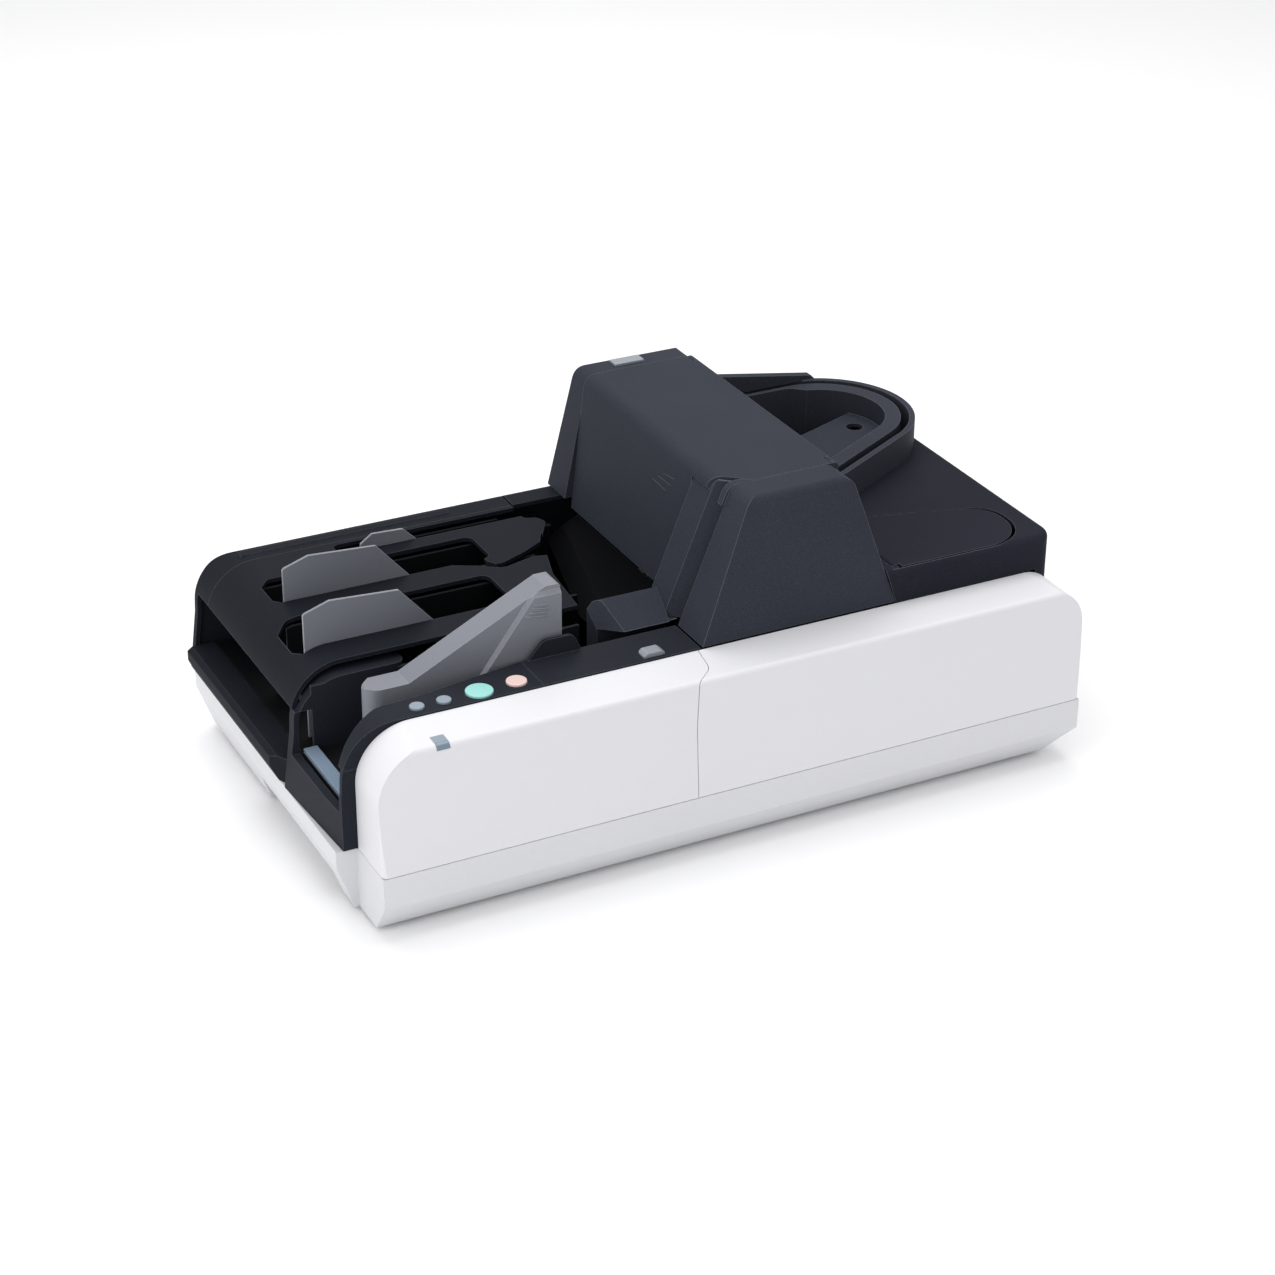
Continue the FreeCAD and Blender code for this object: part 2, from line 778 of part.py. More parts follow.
def pusher_outline(inset, foot):
    return [(pusher_left + inset, foot), (pusher_left + inset, pusher_low - inset, thin_wall),
            (pusher_rise_start, pusher_low - inset), (pusher_rise_end, pusher_high - inset),
            (pusher_right - inset, pusher_high - inset, thin_wall), (pusher_right - inset, foot)]


def feed_pusher():
    foot = feed_level + running_gap
    far = pusher_near + pusher_thickness
    outer = front_slab(pusher_outline(0, foot), pusher_near, far)
    plan = plan_slab([(pusher_left, pusher_near, pusher_turn - pusher_skin), (pusher_right, pusher_near),
                      (pusher_right, far), (pusher_left + pusher_back, far),
                      (pusher_left, far - pusher_back)], 0, hump_height)
    inner = front_slab(pusher_outline(pusher_skin, foot + pusher_skin), pusher_near + pusher_turn,
                       far + overrun)
    inner = inner.cut(block(0, pusher_left + pusher_back + pusher_skin, 0, body_width, 0, hump_height))
    grip = end_slab([(pusher_near, foot + grip_round), (pusher_near - grip_bulge, foot + 2 * grip_round),
                     (pusher_near - grip_bulge, pusher_high - grip_top),
                     (pusher_near, pusher_high - grip_top + grip_bulge)],
                    grip_left, pusher_right)
    edge = vec(grip_lean, 0, pusher_high - feed_level)
    blend = vec(grip_blend, -grip_bulge, 0)
    grip = grip.cut(beyond(vec(grip_left, pusher_near, feed_level), blend.cross(edge), body_length))
    grip = grip.common(front_slab(pusher_outline(0, foot), pusher_near - grip_bulge, far))
    shell = join([outer.common(plan).cut(inner), grip])
    middle = (foot_slot_left + foot_slot_right) / 2
    stalk = block(foot_slot_left + running_gap, foot_slot_right - running_gap, carriage_near,
                  carriage_near + carriage_length, feed_level - wall - thin_wall, foot + pusher_skin)
    slider = block(carriage_left + thin_wall, carriage_right - thin_wall, carriage_near,
                   carriage_near + carriage_length, carriage_low, feed_level - wall - thin_wall)
    bore = cross_rod(middle, rail_level, carriage_near - overrun,
                     carriage_near + carriage_length + overrun, rail_radius + fit_gap)
    return join([shell, stalk, slider]).cut(bore)


# Track plan: a straight leg from the throat to a half turn, and a straight leg back
turn_radius = 57.0
channel_half = 3.0
track_wall = 4.0
turn_x = body_length - turn_radius - channel_half - track_wall
turn_y = trim_far - turn_radius - channel_half - track_wall
throat_x = 262.0
throat_y = 77.0
turn_distance = math.hypot(turn_x - throat_x, turn_y - throat_y)
leg_angle = (math.atan2(turn_y - throat_y, turn_x - throat_x)
             - math.asin(turn_radius / turn_distance))
track_start = hump_right + seam


def on_leg(along, aside):
    """Plan place at a distance along the near leg and to its far side."""
    return (throat_x + along * math.cos(leg_angle) - aside * math.sin(leg_angle),
            throat_y + along * math.sin(leg_angle) + aside * math.cos(leg_angle))


def turn_loop(radius, start_x, z0, z1):
    """Solid inside the tangent legs and the half turn of the given radius."""
    side = turn_radius - radius
    begin = (start_x - throat_x + side * math.sin(leg_angle)) / math.cos(leg_angle)
    near_start = vec(*on_leg(begin, side), z0)
    near_end = vec(turn_x + radius * math.sin(leg_angle), turn_y - radius * math.cos(leg_angle), z0)
    middle_angle = leg_angle / 2
    middle = vec(turn_x + radius * math.cos(middle_angle), turn_y + radius * math.sin(middle_angle), z0)
    far_end = vec(turn_x, turn_y + radius, z0)
    far_start = vec(start_x, turn_y + radius, z0)
    edges = [Part.makeLine(near_start, near_end), Part.Arc(near_end, middle, far_end).toShape(),
             Part.makeLine(far_end, far_start), Part.makeLine(far_start, near_start)]
    return Part.Face(Part.Wire(edges)).extrude(vec(0, 0, z1 - z0))


outer_radius = turn_radius + channel_half + track_wall
channel_outer = turn_radius + channel_half
island_radius = turn_radius - channel_half
island_wall = 3.0
island_ring = 11.0
island_recess_depth = 16.0
island_recess_floor = track_height - island_recess_depth
island_hole_radius = 6.0
island_hole_x = 463.0
island_hole_y = 239.0
well_depth = 52.0
well_floor = track_height - well_depth
well_edge_left = 423.0
well_edge_right = 472.0
well_edge_low = 243.0
well_edge_high = 262.0
turn_foot = 64.0
turn_window_foot = 63.0
turn_posts = (-45.0, 45.0)
post_inset = 8.0


def track_outer_wall():
    ring = turn_loop(outer_radius, track_start, turn_foot, track_height)
    gutter = turn_loop(channel_outer, track_start - overrun, turn_foot - overrun, track_height + overrun)
    shapes = [ring.cut(gutter), track_cap()]
    middle = channel_outer + track_wall / 2
    for degrees in turn_posts:
        turn = math.radians(degrees)
        shapes.append(upright_rod(turn_x + middle * math.cos(turn), turn_y + middle * math.sin(turn),
                                  chassis_top, turn_foot + wall, track_wall / 2))
    shapes.append(upright_rod(track_start + post_inset, turn_y + middle, chassis_top, turn_foot + wall,
                              track_wall / 2))
    x, y = on_leg(track_start - throat_x + post_inset, -channel_half - track_wall / 2)
    shapes.append(upright_rod(x, y, chassis_top, turn_foot + wall, track_wall / 2))
    return join(shapes)


def island_recess(inset, z0, z1):
    """Hollow that leaves a wide rim on the near side and a thin one along the far leg."""
    near = turn_loop(island_radius - island_ring - inset, track_start - overrun, z0, z1)
    far_edge = turn_y + island_radius - island_wall - inset
    far = plan_slab([(track_start - overrun, turn_y), (turn_x + inset, turn_y),
                     (turn_x + island_radius / 2, turn_y + island_radius / 2),
                     (turn_x - inset, far_edge, island_ring), (track_start - overrun, far_edge)], z0, z1)
    return near.fuse(far)


def island_well(margin, z0, z1):
    """Deep corner of the recess beyond the slanted edge of its floor."""
    return plan_slab([(track_start - overrun, well_edge_low - margin),
                      (well_edge_left, well_edge_low - margin),
                      (well_edge_right, well_edge_high - margin), (body_length, well_edge_high - margin),
                      (body_length, body_width), (track_start - overrun, body_width)], z0, z1)


def track_island():
    body = turn_loop(island_radius, track_start, feed_level - wall, track_height)
    recess = island_recess(0, island_recess_floor, track_height + overrun)
    well = island_recess(0, well_floor, track_height).common(island_well(0, well_floor, track_height))
    recess = recess.fuse(well)
    hollow = turn_loop(island_radius - island_wall, track_start - overrun, feed_level - wall - overrun,
                       island_recess_floor - island_wall)
    hollow = hollow.cut(island_well(island_wall, well_floor - island_wall, track_height))
    floor = turn_loop(channel_outer - seam, track_start, feed_level - wall, feed_level)
    open_under = turn_loop(island_radius - island_wall, track_start - overrun,
                           feed_level - wall - overrun, feed_level + overrun)
    hole = upright_rod(island_hole_x, island_hole_y, island_recess_floor - island_wall - overrun,
                       track_height, island_hole_radius)
    island = join([body.cut(recess).cut(hollow), floor.cut(open_under)])
    return island.cut(hole)


cap_rise = 21.0
cap_right = 462.0
cap_lead = 3.0
cap_overhang = 2.0


def track_cap():
    outer_side = turn_y + outer_radius
    return front_slab([(track_start, track_height), (cap_right, track_height),
                       (cap_right - cap_lead, track_height + cap_lead),
                       (track_start, track_height + cap_rise)],
                      outer_side - track_wall - cap_overhang, outer_side)


# Rollers: rubber tyres on steel shafts that stand in the chassis and nip the cheques
roller_low = 84.0
roller_drop = 17.0
shaft_end = 6.0
roller_high = panel_height - roller_drop
shaft_top = roller_high + shaft_end
shaft_foot = 30.0
feed_roller_radius = 12.0
nip_radius = 9.0
nip_reveal = 0.4
pick_x = 163.0
feed_x = 206.0
feed_line = throat_near + 2.5
feed_roller_y = feed_line - feed_roller_radius
retard_y = feed_line + nip_reveal + nip_radius
drive_first = 27.0
drive_pitch = 57.0
drive_stations = (drive_first, drive_first + drive_pitch)
roller_aside = nip_radius + nip_reveal / 2


pulley_radius = 8.0
pulley_low = 22.0
pulley_height = 8.0
driven_roller = "near_drive_roller"


def roller(name, x, y, radius):
    tyre = upright_rod(x, y, roller_low, roller_high, radius)
    foot = pulley_low if name == driven_roller else shaft_foot
    shapes = [tyre, upright_rod(x, y, foot, shaft_top, roller_shaft_radius)]
    if name == driven_roller:
        shapes.append(upright_rod(x, y, pulley_low, pulley_low + pulley_height, pulley_radius))
    return join(shapes)


rollers = {"pick_roller": (pick_x, feed_roller_y, feed_roller_radius),
           "feed_roller": (feed_x, feed_roller_y, feed_roller_radius),
           "retard_roller": (feed_x, retard_y, nip_radius),
           "near_drive_roller": (*on_leg(drive_stations[0], roller_aside), nip_radius),
           "near_pinch_roller": (*on_leg(drive_stations[0], -roller_aside), nip_radius),
           "far_drive_roller": (*on_leg(drive_stations[1], roller_aside), nip_radius),
           "far_pinch_roller": (*on_leg(drive_stations[1], -roller_aside), nip_radius)}

# Scan frame: floor and two walls of the channel under the lid, with sensor windows
scan_start = 10.0
scan_end = 97.0
scan_wall = 2.2
scan_height = 150.0
sensor_station = 56.0
sensor_length = 16.0
sensor_depth = 13.0
sensor_low = 72.0
sensor_drop = 28.0
sensor_high = hump_height - sensor_drop
sensor_setback = 0.8
scan_foot = 4.0


def leg_block(along0, along1, aside0, aside1, z0, z1):
    corners = [on_leg(along0, aside0), on_leg(along1, aside0), on_leg(along1, aside1), on_leg(along0, aside1)]
    return plan_slab(corners, z0, z1)


def scan_frame():
    floor = leg_block(scan_start, scan_end, -channel_half - scan_wall, channel_half + scan_wall,
                      feed_level - wall, feed_level)
    shapes = [floor]
    for side in (-1, 1):
        shapes.append(leg_block(scan_start, scan_end, side * channel_half, side * (channel_half + scan_wall),
                                feed_level, scan_height))
    for along in (scan_start, sensor_station, scan_end - scan_foot):
        shapes.append(leg_block(along, along + scan_foot, -channel_half, channel_half,
                                chassis_top, feed_level - wall))
    frame = join(shapes)
    reach = channel_half + scan_wall + overrun
    for along in drive_stations:
        window = leg_block(along - nip_radius, along + nip_radius, -reach, reach,
                           roller_low - thin_wall, roller_high + thin_wall)
        frame = frame.cut(window)
    gap = seam + running_gap
    return frame.cut(leg_block(sensor_station - sensor_length / 2 - gap,
                               sensor_station + sensor_length / 2 + gap, -reach, reach,
                               sensor_low - gap, scan_height + overrun))


def image_sensors():
    bars = []
    for side in (-1, 1):
        face = side * (channel_half + sensor_setback)
        bars.append(leg_block(sensor_station - sensor_length / 2, sensor_station + sensor_length / 2,
                              face, face + side * sensor_depth, sensor_low, sensor_high))
    return Part.makeCompound(bars)


# Sort gates: thin flaps on upright pins that turn cheques into the pockets
gate_length = 20.0
gate_pin_radius = 2.0
gate_low = 64.0
gate_drop = 13.0
gate_high = panel_height - gate_drop
gate_x = 236.0
gate_pitch = 21.0
gate_far = 289.0
gate_ys = (gate_far, gate_far - gate_pitch)
gate_nose = 1.2


def sort_gate(x, y):
    barrel = upright_rod(x, y, gate_low, gate_high, gate_pin_radius)
    flap = plan_slab([(x, y - gate_pin_radius / 2), (x, y + gate_pin_radius / 2),
                      (x - gate_length, y + gate_nose / 2), (x - gate_length, y - gate_nose / 2)],
                     gate_low, gate_high)
    pin = upright_rod(x, y, chassis_top, gate_low, gate_pin_radius / 2)
    return join([barrel, flap, pin])


# Near tower: black housing that leans back, with an upright pillar on its left
tower_foot_left = 236.0
tower_foot_right = 377.0
tower_top_left = 273.0
tower_top_right = 347.0
tower_lean = 10.0
tower_round = 10.0
pillar_near = 80.2
pillar_far = 113.6
pillar_step = 2.0
pillar_depth = 20.0
pillar_chamfer = 11.0
pillar_chamfer_depth = 9.8
slot_drop = 13.0
slot_top = hump_height - slot_drop
lid_near_gap = 0.6
lid_far_gap = 0.7


def tower_form(inset, extra):
    front = front_slab([(tower_foot_left + inset, panel_height - extra),
                        (tower_top_left + inset, hump_height - inset, tower_round - inset),
                        (tower_top_right - inset, hump_height - inset, tower_round - inset),
                        (tower_foot_right - inset, panel_height - extra)], 0, body_width)
    side = end_slab([(frame_near + inset, panel_height - extra),
                     (frame_near + tower_lean + inset, hump_height - inset, tower_round / 2 - inset / 2),
                     (tower_far - inset, hump_height - inset), (tower_far - inset, panel_height - extra)],
                    0, body_length)
    return front.common(side)


def pillar_form(shift, inset, y0, y1):
    """Leaning block that repeats the tower's left end a little further out."""
    left = pillar_step + shift
    face = [(tower_foot_left - left, panel_height), (tower_top_left - left, hump_height - inset, tower_round),
            (tower_top_left + pillar_depth, hump_height - inset),
            (tower_foot_left + pillar_depth, panel_height)]
    return front_slab(face, y0, y1)


def lid_corner(gap):
    """Cut-off corner of the lid, in line with the pillar's chamfer."""
    top = tower_top_left - pillar_step - gap
    ratio = pillar_chamfer / pillar_chamfer_depth
    near_x = top + pillar_chamfer + (pillar_near - tower_far - lid_near_gap) * ratio
    left = hump_left - overrun
    far_y = pillar_near + pillar_chamfer_depth + (top - left) / ratio
    near_y = tower_far - overrun
    return plan_slab([(left, near_y), (near_x, near_y), (near_x, tower_far + lid_near_gap), (left, far_y)],
                     0, hump_height + overrun)


def near_tower():
    """Housing with a hollow pillar beyond the entry slot, the two joined above the slot."""
    shell = tower_form(0, 0).cut(tower_form(wall, overrun))
    pillar = pillar_form(0, 0, tower_far, pillar_far)
    pillar_top = hump_height - lid_crease - seam
    under_lid = block(0, body_length, tower_far, body_width, pillar_top, hump_height + overrun)
    pillar = pillar.cut(under_lid.cut(lid_corner(2 * seam)))
    pillar = pillar.cut(block(0, body_length, tower_far, pillar_near, panel_height - overrun, slot_top))
    foot = vec(tower_foot_left - pillar_step, pillar_near, panel_height)
    lean = vec(tower_top_left - tower_foot_left, 0, hump_height - panel_height)
    lead = Part.makePolygon([foot + vec(x, y, 0) for x, y in
                             ((-pillar_chamfer, -overrun), (pillar_chamfer + overrun, -overrun),
                              (pillar_chamfer, 0), (0, pillar_chamfer_depth),
                              (-pillar_chamfer, pillar_chamfer_depth), (-pillar_chamfer, -overrun))])
    pillar = pillar.cut(Part.makeLoft([lead, lead.translated(lean)], True, True))
    hollow = pillar_form(-wall, 0, pillar_near + pillar_chamfer_depth, pillar_far - wall)
    hollow = hollow.fuse(pillar_form(-pillar_chamfer - wall, 0, pillar_near + wall, pillar_far - wall))
    hollow = hollow.common(below(pillar_top - wall))
    return join([shell, pillar.cut(hollow)])


# Hump lid: the moulded top and left side of the hump, hinged along its right edge
lid_near = tower_far + lid_near_gap
lid_far = trim_near - lid_far_gap
lid_foot_drop = 6.0
lid_foot = panel_height - lid_foot_drop
lid_crease = 9.0
lid_lean = 11.0
pin_cover = 0.8
barrel_radius = 3.0
barrel_x = hump_right - barrel_radius
barrel_z = hump_height - barrel_radius
lid_pin_radius = 1.2
lug_length = 7.0
lug_start = lid_near + wall
lug_end = lid_far - wall
lug_gap = 0.3


def hump_lid():
    crease_x = hump_left + lid_lean
    outer = front_slab([(hump_left, lid_foot), (crease_x, hump_height, lid_crease), (barrel_x, hump_height),
                        (barrel_x, hump_height - wall), (crease_x + wall, hump_height - wall,
                                                         lid_crease - wall),
                        (hump_left + wall, lid_foot)], lid_near, lid_far)
    beside_pillar = block(hump_left - overrun, crease_x + 2 * wall, lid_near - overrun, pillar_far + seam,
                          lid_foot - overrun, hump_height - lid_crease)
    barrel = cross_rod(barrel_x, barrel_z, lid_near, lid_far, barrel_radius)
    lid = join([outer.cut(beside_pillar).cut(lid_corner(0)), barrel])
    for y in (lug_start, lug_end - lug_length):
        lid = lid.cut(block(barrel_x - barrel_radius - lug_gap, hump_right + overrun, y - lug_gap,
                            y + lug_length + lug_gap, barrel_z - barrel_radius - overrun,
                            hump_height + overrun))
    return lid.cut(cross_rod(barrel_x, barrel_z, lid_near + pin_cover, lid_far + overrun,
                             lid_pin_radius + fit_gap))


def hump_lid_pin():
    return cross_rod(barrel_x, barrel_z, lid_near + pin_cover + running_gap, lid_far, lid_pin_radius)


def hump_rear_wall():
    shapes = [block(hump_right - wall, hump_right, lid_near, lid_far, track_height + thin_wall,
                    barrel_z - barrel_radius - lug_gap)]
    for y0, y1 in ((lid_near, lid_near + foot_block_depth), (lid_far - foot_block_depth, lid_far)):
        shapes.append(block(hump_right - wall, hump_right, y0, y1, deck_height + seam,
                            track_height + thin_wall))
    for y in (lug_start, lug_end - lug_length):
        shapes.append(cross_rod(barrel_x, barrel_z, y, y + lug_length, barrel_radius))
        shapes.append(block(barrel_x, hump_right, y, y + lug_length, barrel_z - barrel_radius - wall,
                            barrel_z))
    rear = join(shapes)
    return rear.cut(cross_rod(barrel_x, barrel_z, lug_start - overrun, lug_end + overrun,
                              lid_pin_radius + fit_gap))


# Far trim: the fixed far end of the hump, which carries the grey latch
trim_foot_left = 251.5
trim_top_left = 269.5
trim_top_right = 349.0
trim_lean = 8.0
trim_round = 12.0
trim_far_round = 5.0
latch_x = 304.0
latch_set = 9.5
latch_y = trim_near + latch_set
latch_length = 22.0
latch_width = 9.6
latch_rise = 1.2
latch_depth = 9.0
trim_open_height = 172.0


def trim_form(inset, extra):
    front = front_slab([(trim_foot_left + inset, pocket_height + seam - extra),
                        (trim_top_left + inset, hump_height - inset, trim_round - inset),
                        (trim_top_right - inset, hump_height - inset, trim_round / 2 - inset / 2),
                        (hump_right - inset, hump_height - 2 * trim_round),
                        (hump_right - inset, pocket_height + seam - extra)], 0, body_width)
    side = end_slab([(trim_near + inset, pocket_height + seam - extra),
                     (trim_near + inset, hump_height - inset),
                     (trim_far - trim_lean - inset, hump_height - inset, trim_far_round - inset),
                     (trim_far - inset, pocket_height + seam - extra)], 0, body_length)
    return front.common(side)


def far_trim():
    shell = trim_form(0, 0).cut(trim_form(wall, overrun))
    right_opening = block(hump_right - 2 * wall, hump_right + overrun, trim_near - overrun,
                          trim_far + overrun, 0, trim_open_height)
    inner_opening = block(trim_foot_left + trim_lean + wall, hump_right + overrun, trim_near - overrun,
                          trim_near + wall + overrun, 0, trim_open_height)
    latch_hole = block(latch_x - latch_length / 2 - key_gap, latch_x + latch_length / 2 + key_gap,
                       latch_y - latch_width / 2 - key_gap, latch_y + latch_width / 2 + key_gap,
                       hump_height - 2 * wall, hump_height + overrun)
    return shell.cut(right_opening).cut(inner_opening).cut(latch_hole)


def hump_latch():
    cap = block(latch_x - latch_length / 2, latch_x + latch_length / 2, latch_y - latch_width / 2,
                latch_y + latch_width / 2, hump_height - wall - key_gap, hump_height + latch_rise)
    flange = block(latch_x - latch_length / 2 - release_flange, latch_x + latch_length / 2 + release_flange,
                   latch_y - latch_width / 2, latch_y + latch_width / 2,
                   hump_height - wall - key_gap - release_flange, hump_height - wall - key_gap)
    hook = block(latch_x - rib_width / 2, latch_x + rib_width / 2, latch_y - latch_width / 2,
                 latch_y - latch_width / 2 + thin_wall, hump_height - wall - latch_depth,
                 hump_height - wall - key_gap - release_flange)
    return join([cap, flange, hook])


# Feed fairing: folded black slope below the lid, hollow and open towards the hump
fairing_near = 80.5
fairing_far = 262.0
fairing_right = hump_left - seam
fairing_top_drop = 7.0
fairing_fold_drop = 13.0
fairing_foot_drop = 21.0
fairing_top = panel_height - fairing_top_drop
fairing_fold = panel_height - fairing_fold_drop
fairing_foot = panel_height - fairing_foot_drop
fairing_middle = 150.0
fold_far_x = 244.0
fold_near_x = 218.0
skirt_far_x = 233.0
skirt_near_x = 203.0
chute_left = 190.0
chute_right = 240.0
chute_far = 112.0
chute_rise = 12.0
chute_top = panel_height + chute_rise
chute_shoulder = 109.0
chute_near = retard_y + nip_radius + thin_wall
facet_x = 197.6
facet_near_shift = 1.9
facet_near_reach = 21.1
facet_near_drop = 10.0
facet_left_reach = 12.6
facet_left_drop = 15.0


def fairing_wire(y, fold_x, skirt_x, inset, foot, right):
    corners = [(skirt_x + inset, foot), (skirt_x + inset, fairing_foot - inset),
               (fold_x, fairing_fold - inset),
               (fairing_right, fairing_top - inset)]
    if right > fairing_right:
        corners.append((right, fairing_top - inset))
    corners.append((right, foot))
    points = [vec(x, y, z) for x, z in corners]
    return Part.makePolygon(points + points[:1])


def fairing_solid(inset, foot, right, near, far):
    solids = []
    stations = [(near, fold_near_x, skirt_near_x), (fairing_middle, fold_near_x, skirt_near_x),
                (far, fold_far_x, skirt_far_x)]
    for first, second in zip(stations, stations[1:]):
        wires = [fairing_wire(*station, inset, foot, right) for station in (first, second)]
        solids.append(Part.makeLoft(wires, True, True))
    return join(solids)


def feed_fairing():
    outer = fairing_solid(0, chassis_top, fairing_right, chute_far + seam, fairing_far)
    inner = fairing_solid(wall, chassis_top - overrun, fairing_right + overrun, chute_far - overrun,
                          fairing_far + overrun)
    return outer.cut(inner)


def chute_facet():
    """Everything above the slanted facet that ends the chute's roof on the left."""
    top = vec(facet_x, chute_shoulder, chute_top)
    near = vec(facet_near_shift, -facet_near_reach, -facet_near_drop)
    left = vec(-facet_left_reach, 0, -facet_left_drop)
    return beyond(top, left.cross(near), body_width)


def feed_chute():
    chute = end_slab([(chute_near, chassis_top), (chute_near, feed_wall_top), (fairing_near, panel_height),
                      (chute_shoulder, chute_top, slot_round), (chute_far, chute_top - wall),
                      (chute_far, chassis_top)], chute_left, chute_right)
    low = block(0, chute_left + wall, 0, body_width, 0, hump_height)
    high = block(0, facet_x + 2 * wall, 0, body_width, feed_wall_top, hump_height)
    hollow = end_slab([(chute_near + thin_wall, chassis_top - overrun),
                       (chute_near + thin_wall, feed_wall_top + thin_wall),
                       (chute_shoulder, chute_top - wall),
                       (chute_far - wall, chute_top - 2 * wall), (chute_far - wall, chassis_top - overrun)],
                      chute_left, tower_foot_left - pillar_step - seam - wall)
    under_pillar = block(tower_foot_left - pillar_step - seam, chute_right + overrun, 0, pillar_far + seam,
                         panel_height - seam, panel_height)
    chute = chute.cut(hollow.cut(low).cut(high)).cut(chute_facet())
    return chute.cut(under_pillar).cut(pillar_form(seam, 0, 0, pillar_far + seam))


# Rear deck: black top of the right end, with openings for the track, lid and hump
deck_corner = 14.0
deck_round = 5.0
deck_near = cover_depth + seam
deck_left = hump_right + seam
access_left = 377.0
access_right = 481.0
access_near = 43.5
access_far = 123.0
access_far_fall = 29.0
access_near_round = 30.0
access_far_round = 22.0
access_points = [(access_left, access_near), (access_right, access_near, access_near_round),
                 (access_right, access_far - access_far_fall, access_far_round), (access_left, access_far)]
access_gap = 0.6
finger_gap = 2.0
lug_reach = 4.0
lug_drop = 0.6
access_barrel_x = access_left + barrel_radius
access_barrel_z = deck_height - barrel_radius
access_barrel_near = 47.5
access_barrel_far = 117.0
trunnion_radius = 1.5
trunnion_length = 4.0


def access_form(gap, z0, z1):
    middle = [(x + math.copysign(gap, x - access_left - barrel_radius),
               y + math.copysign(gap, y - tower_far), *r)
              for x, y, *r in access_points]
    return plan_slab(middle, z0, z1)


def tower_side(z):
    lean = (tower_foot_right - tower_top_right) / (hump_height - panel_height)
    return tower_foot_right - lean * (z - panel_height)


def rear_deck():
    beside_tower = tower_side(deck_height - wall) + seam
    plate = plan_slab([(deck_left, tower_far + seam), (beside_tower, tower_far + seam),
                       (beside_tower, deck_near), (body_length, deck_near, deck_corner),
                       (body_length, body_width - wall - seam), (deck_left, body_width - wall - seam)],
                      deck_height - wall, deck_height)
    skirt = front_slab([(tower_side(rim_height) + seam, rim_height + seam),
                        (body_length - deck_corner, rim_height + seam),
                        (body_length - deck_corner, deck_height - wall), (beside_tower, deck_height - wall)],
                       deck_near, deck_near + wall)
    turn = plan_slab([(body_length - deck_corner, deck_near), (body_length, deck_near, deck_corner),
                      (body_length, deck_near + deck_corner), (body_length - wall, deck_near + deck_corner),
                      (body_length - wall, deck_near + wall, deck_corner - wall),
                      (body_length - deck_corner, deck_near + wall)],
                     rim_height - right_round + seam, deck_height - wall)
    deck = join([plate, skirt, turn]).common(deck_form())
    deck = deck.cut(block(deck_left - overrun, body_length + overrun, turn_y - seam, body_width, 0,
                          hump_height))
    deck = deck.cut(turn_loop(outer_radius + seam, deck_left - overrun, 0, hump_height))
    opening = access_form(access_gap, deck_height - 2 * wall, deck_height + overrun)
    deck = deck.cut(opening).cut(opening.translated(vec(finger_gap, 0, 0)))
    for y0, y1 in ((deck_near + wall, access_barrel_near - lug_gap),
                   (access_barrel_far + lug_gap, access_far)):
        lug = block(access_left - barrel_radius, access_left + lug_reach, y0, y1,
                    access_barrel_z - 2 * barrel_radius, deck_height - lug_drop)
        deck = deck.fuse(lug)
    for y in (access_barrel_near - trunnion_length - lug_gap, access_barrel_far):
        deck = deck.cut(cross_rod(access_barrel_x, access_barrel_z, y, y + trunnion_length + lug_gap,
                                  trunnion_radius + fit_gap))
    return deck.removeSplitter()


def access_lid():
    plate = access_form(0, deck_height - wall, deck_height)
    corners = block(access_left - overrun, access_left + 2 * barrel_radius + lug_gap, 0,
                    access_barrel_near, 0, hump_height)
    corners = corners.fuse(block(access_left - overrun, access_left + 2 * barrel_radius + lug_gap,
                                 access_barrel_far, body_width, 0, hump_height))
    barrel = cross_rod(access_barrel_x, access_barrel_z, access_barrel_near, access_barrel_far, barrel_radius)
    strip = block(access_left, access_barrel_x, access_barrel_near, access_barrel_far,
                  deck_height - wall, deck_height)
    pins = cross_rod(access_barrel_x, access_barrel_z, access_barrel_near - trunnion_length,
                     access_barrel_far + trunnion_length, trunnion_radius)
    return join([plate.cut(corners).cut(strip), barrel, pins])


# Ink cartridge in the bay under the access lid
cartridge_left = 402.0
cartridge_right = 438.0
cartridge_near = 56.0
cartridge_far = 84.0
cartridge_top = 132.0
cartridge_foot = 92.0


def ink_cartridge():
    body = block(cartridge_left, cartridge_right, cartridge_near, cartridge_far, cartridge_foot,
                 cartridge_top)
    tab = block(cartridge_left, cartridge_right, cartridge_near, cartridge_near + wall, cartridge_top,
                cartridge_top + 2 * wall)
    post = block(cartridge_left + wall, cartridge_right - wall, cartridge_near + wall, cartridge_far - wall,
                 chassis_top, cartridge_foot)
    return join([body, tab, post])


# Motor, belt and main board on the chassis
motor_x = 300.0
motor_y = 190.0
motor_radius = 21.0
motor_height = 48.0
belt_thickness = 1.4
belt_margin = 1.0
board_x0 = 380.0
board_x1 = 465.0
board_y0 = 150.0
board_y1 = 260.0
standoff = 5.0
chip_size = 18.0
chip_height = 2.5
chip_pitch = 2 * chip_size


def drive_motor():
    return upright_rod(motor_x, motor_y, chassis_top, chassis_top + motor_height, motor_radius)


def motor_pulley():
    shaft = upright_rod(motor_x, motor_y, pulley_low - thin_wall, chassis_top - seam, roller_shaft_radius)
    disc = upright_rod(motor_x, motor_y, pulley_low, pulley_low + pulley_height, pulley_radius)
    return join([shaft, disc])


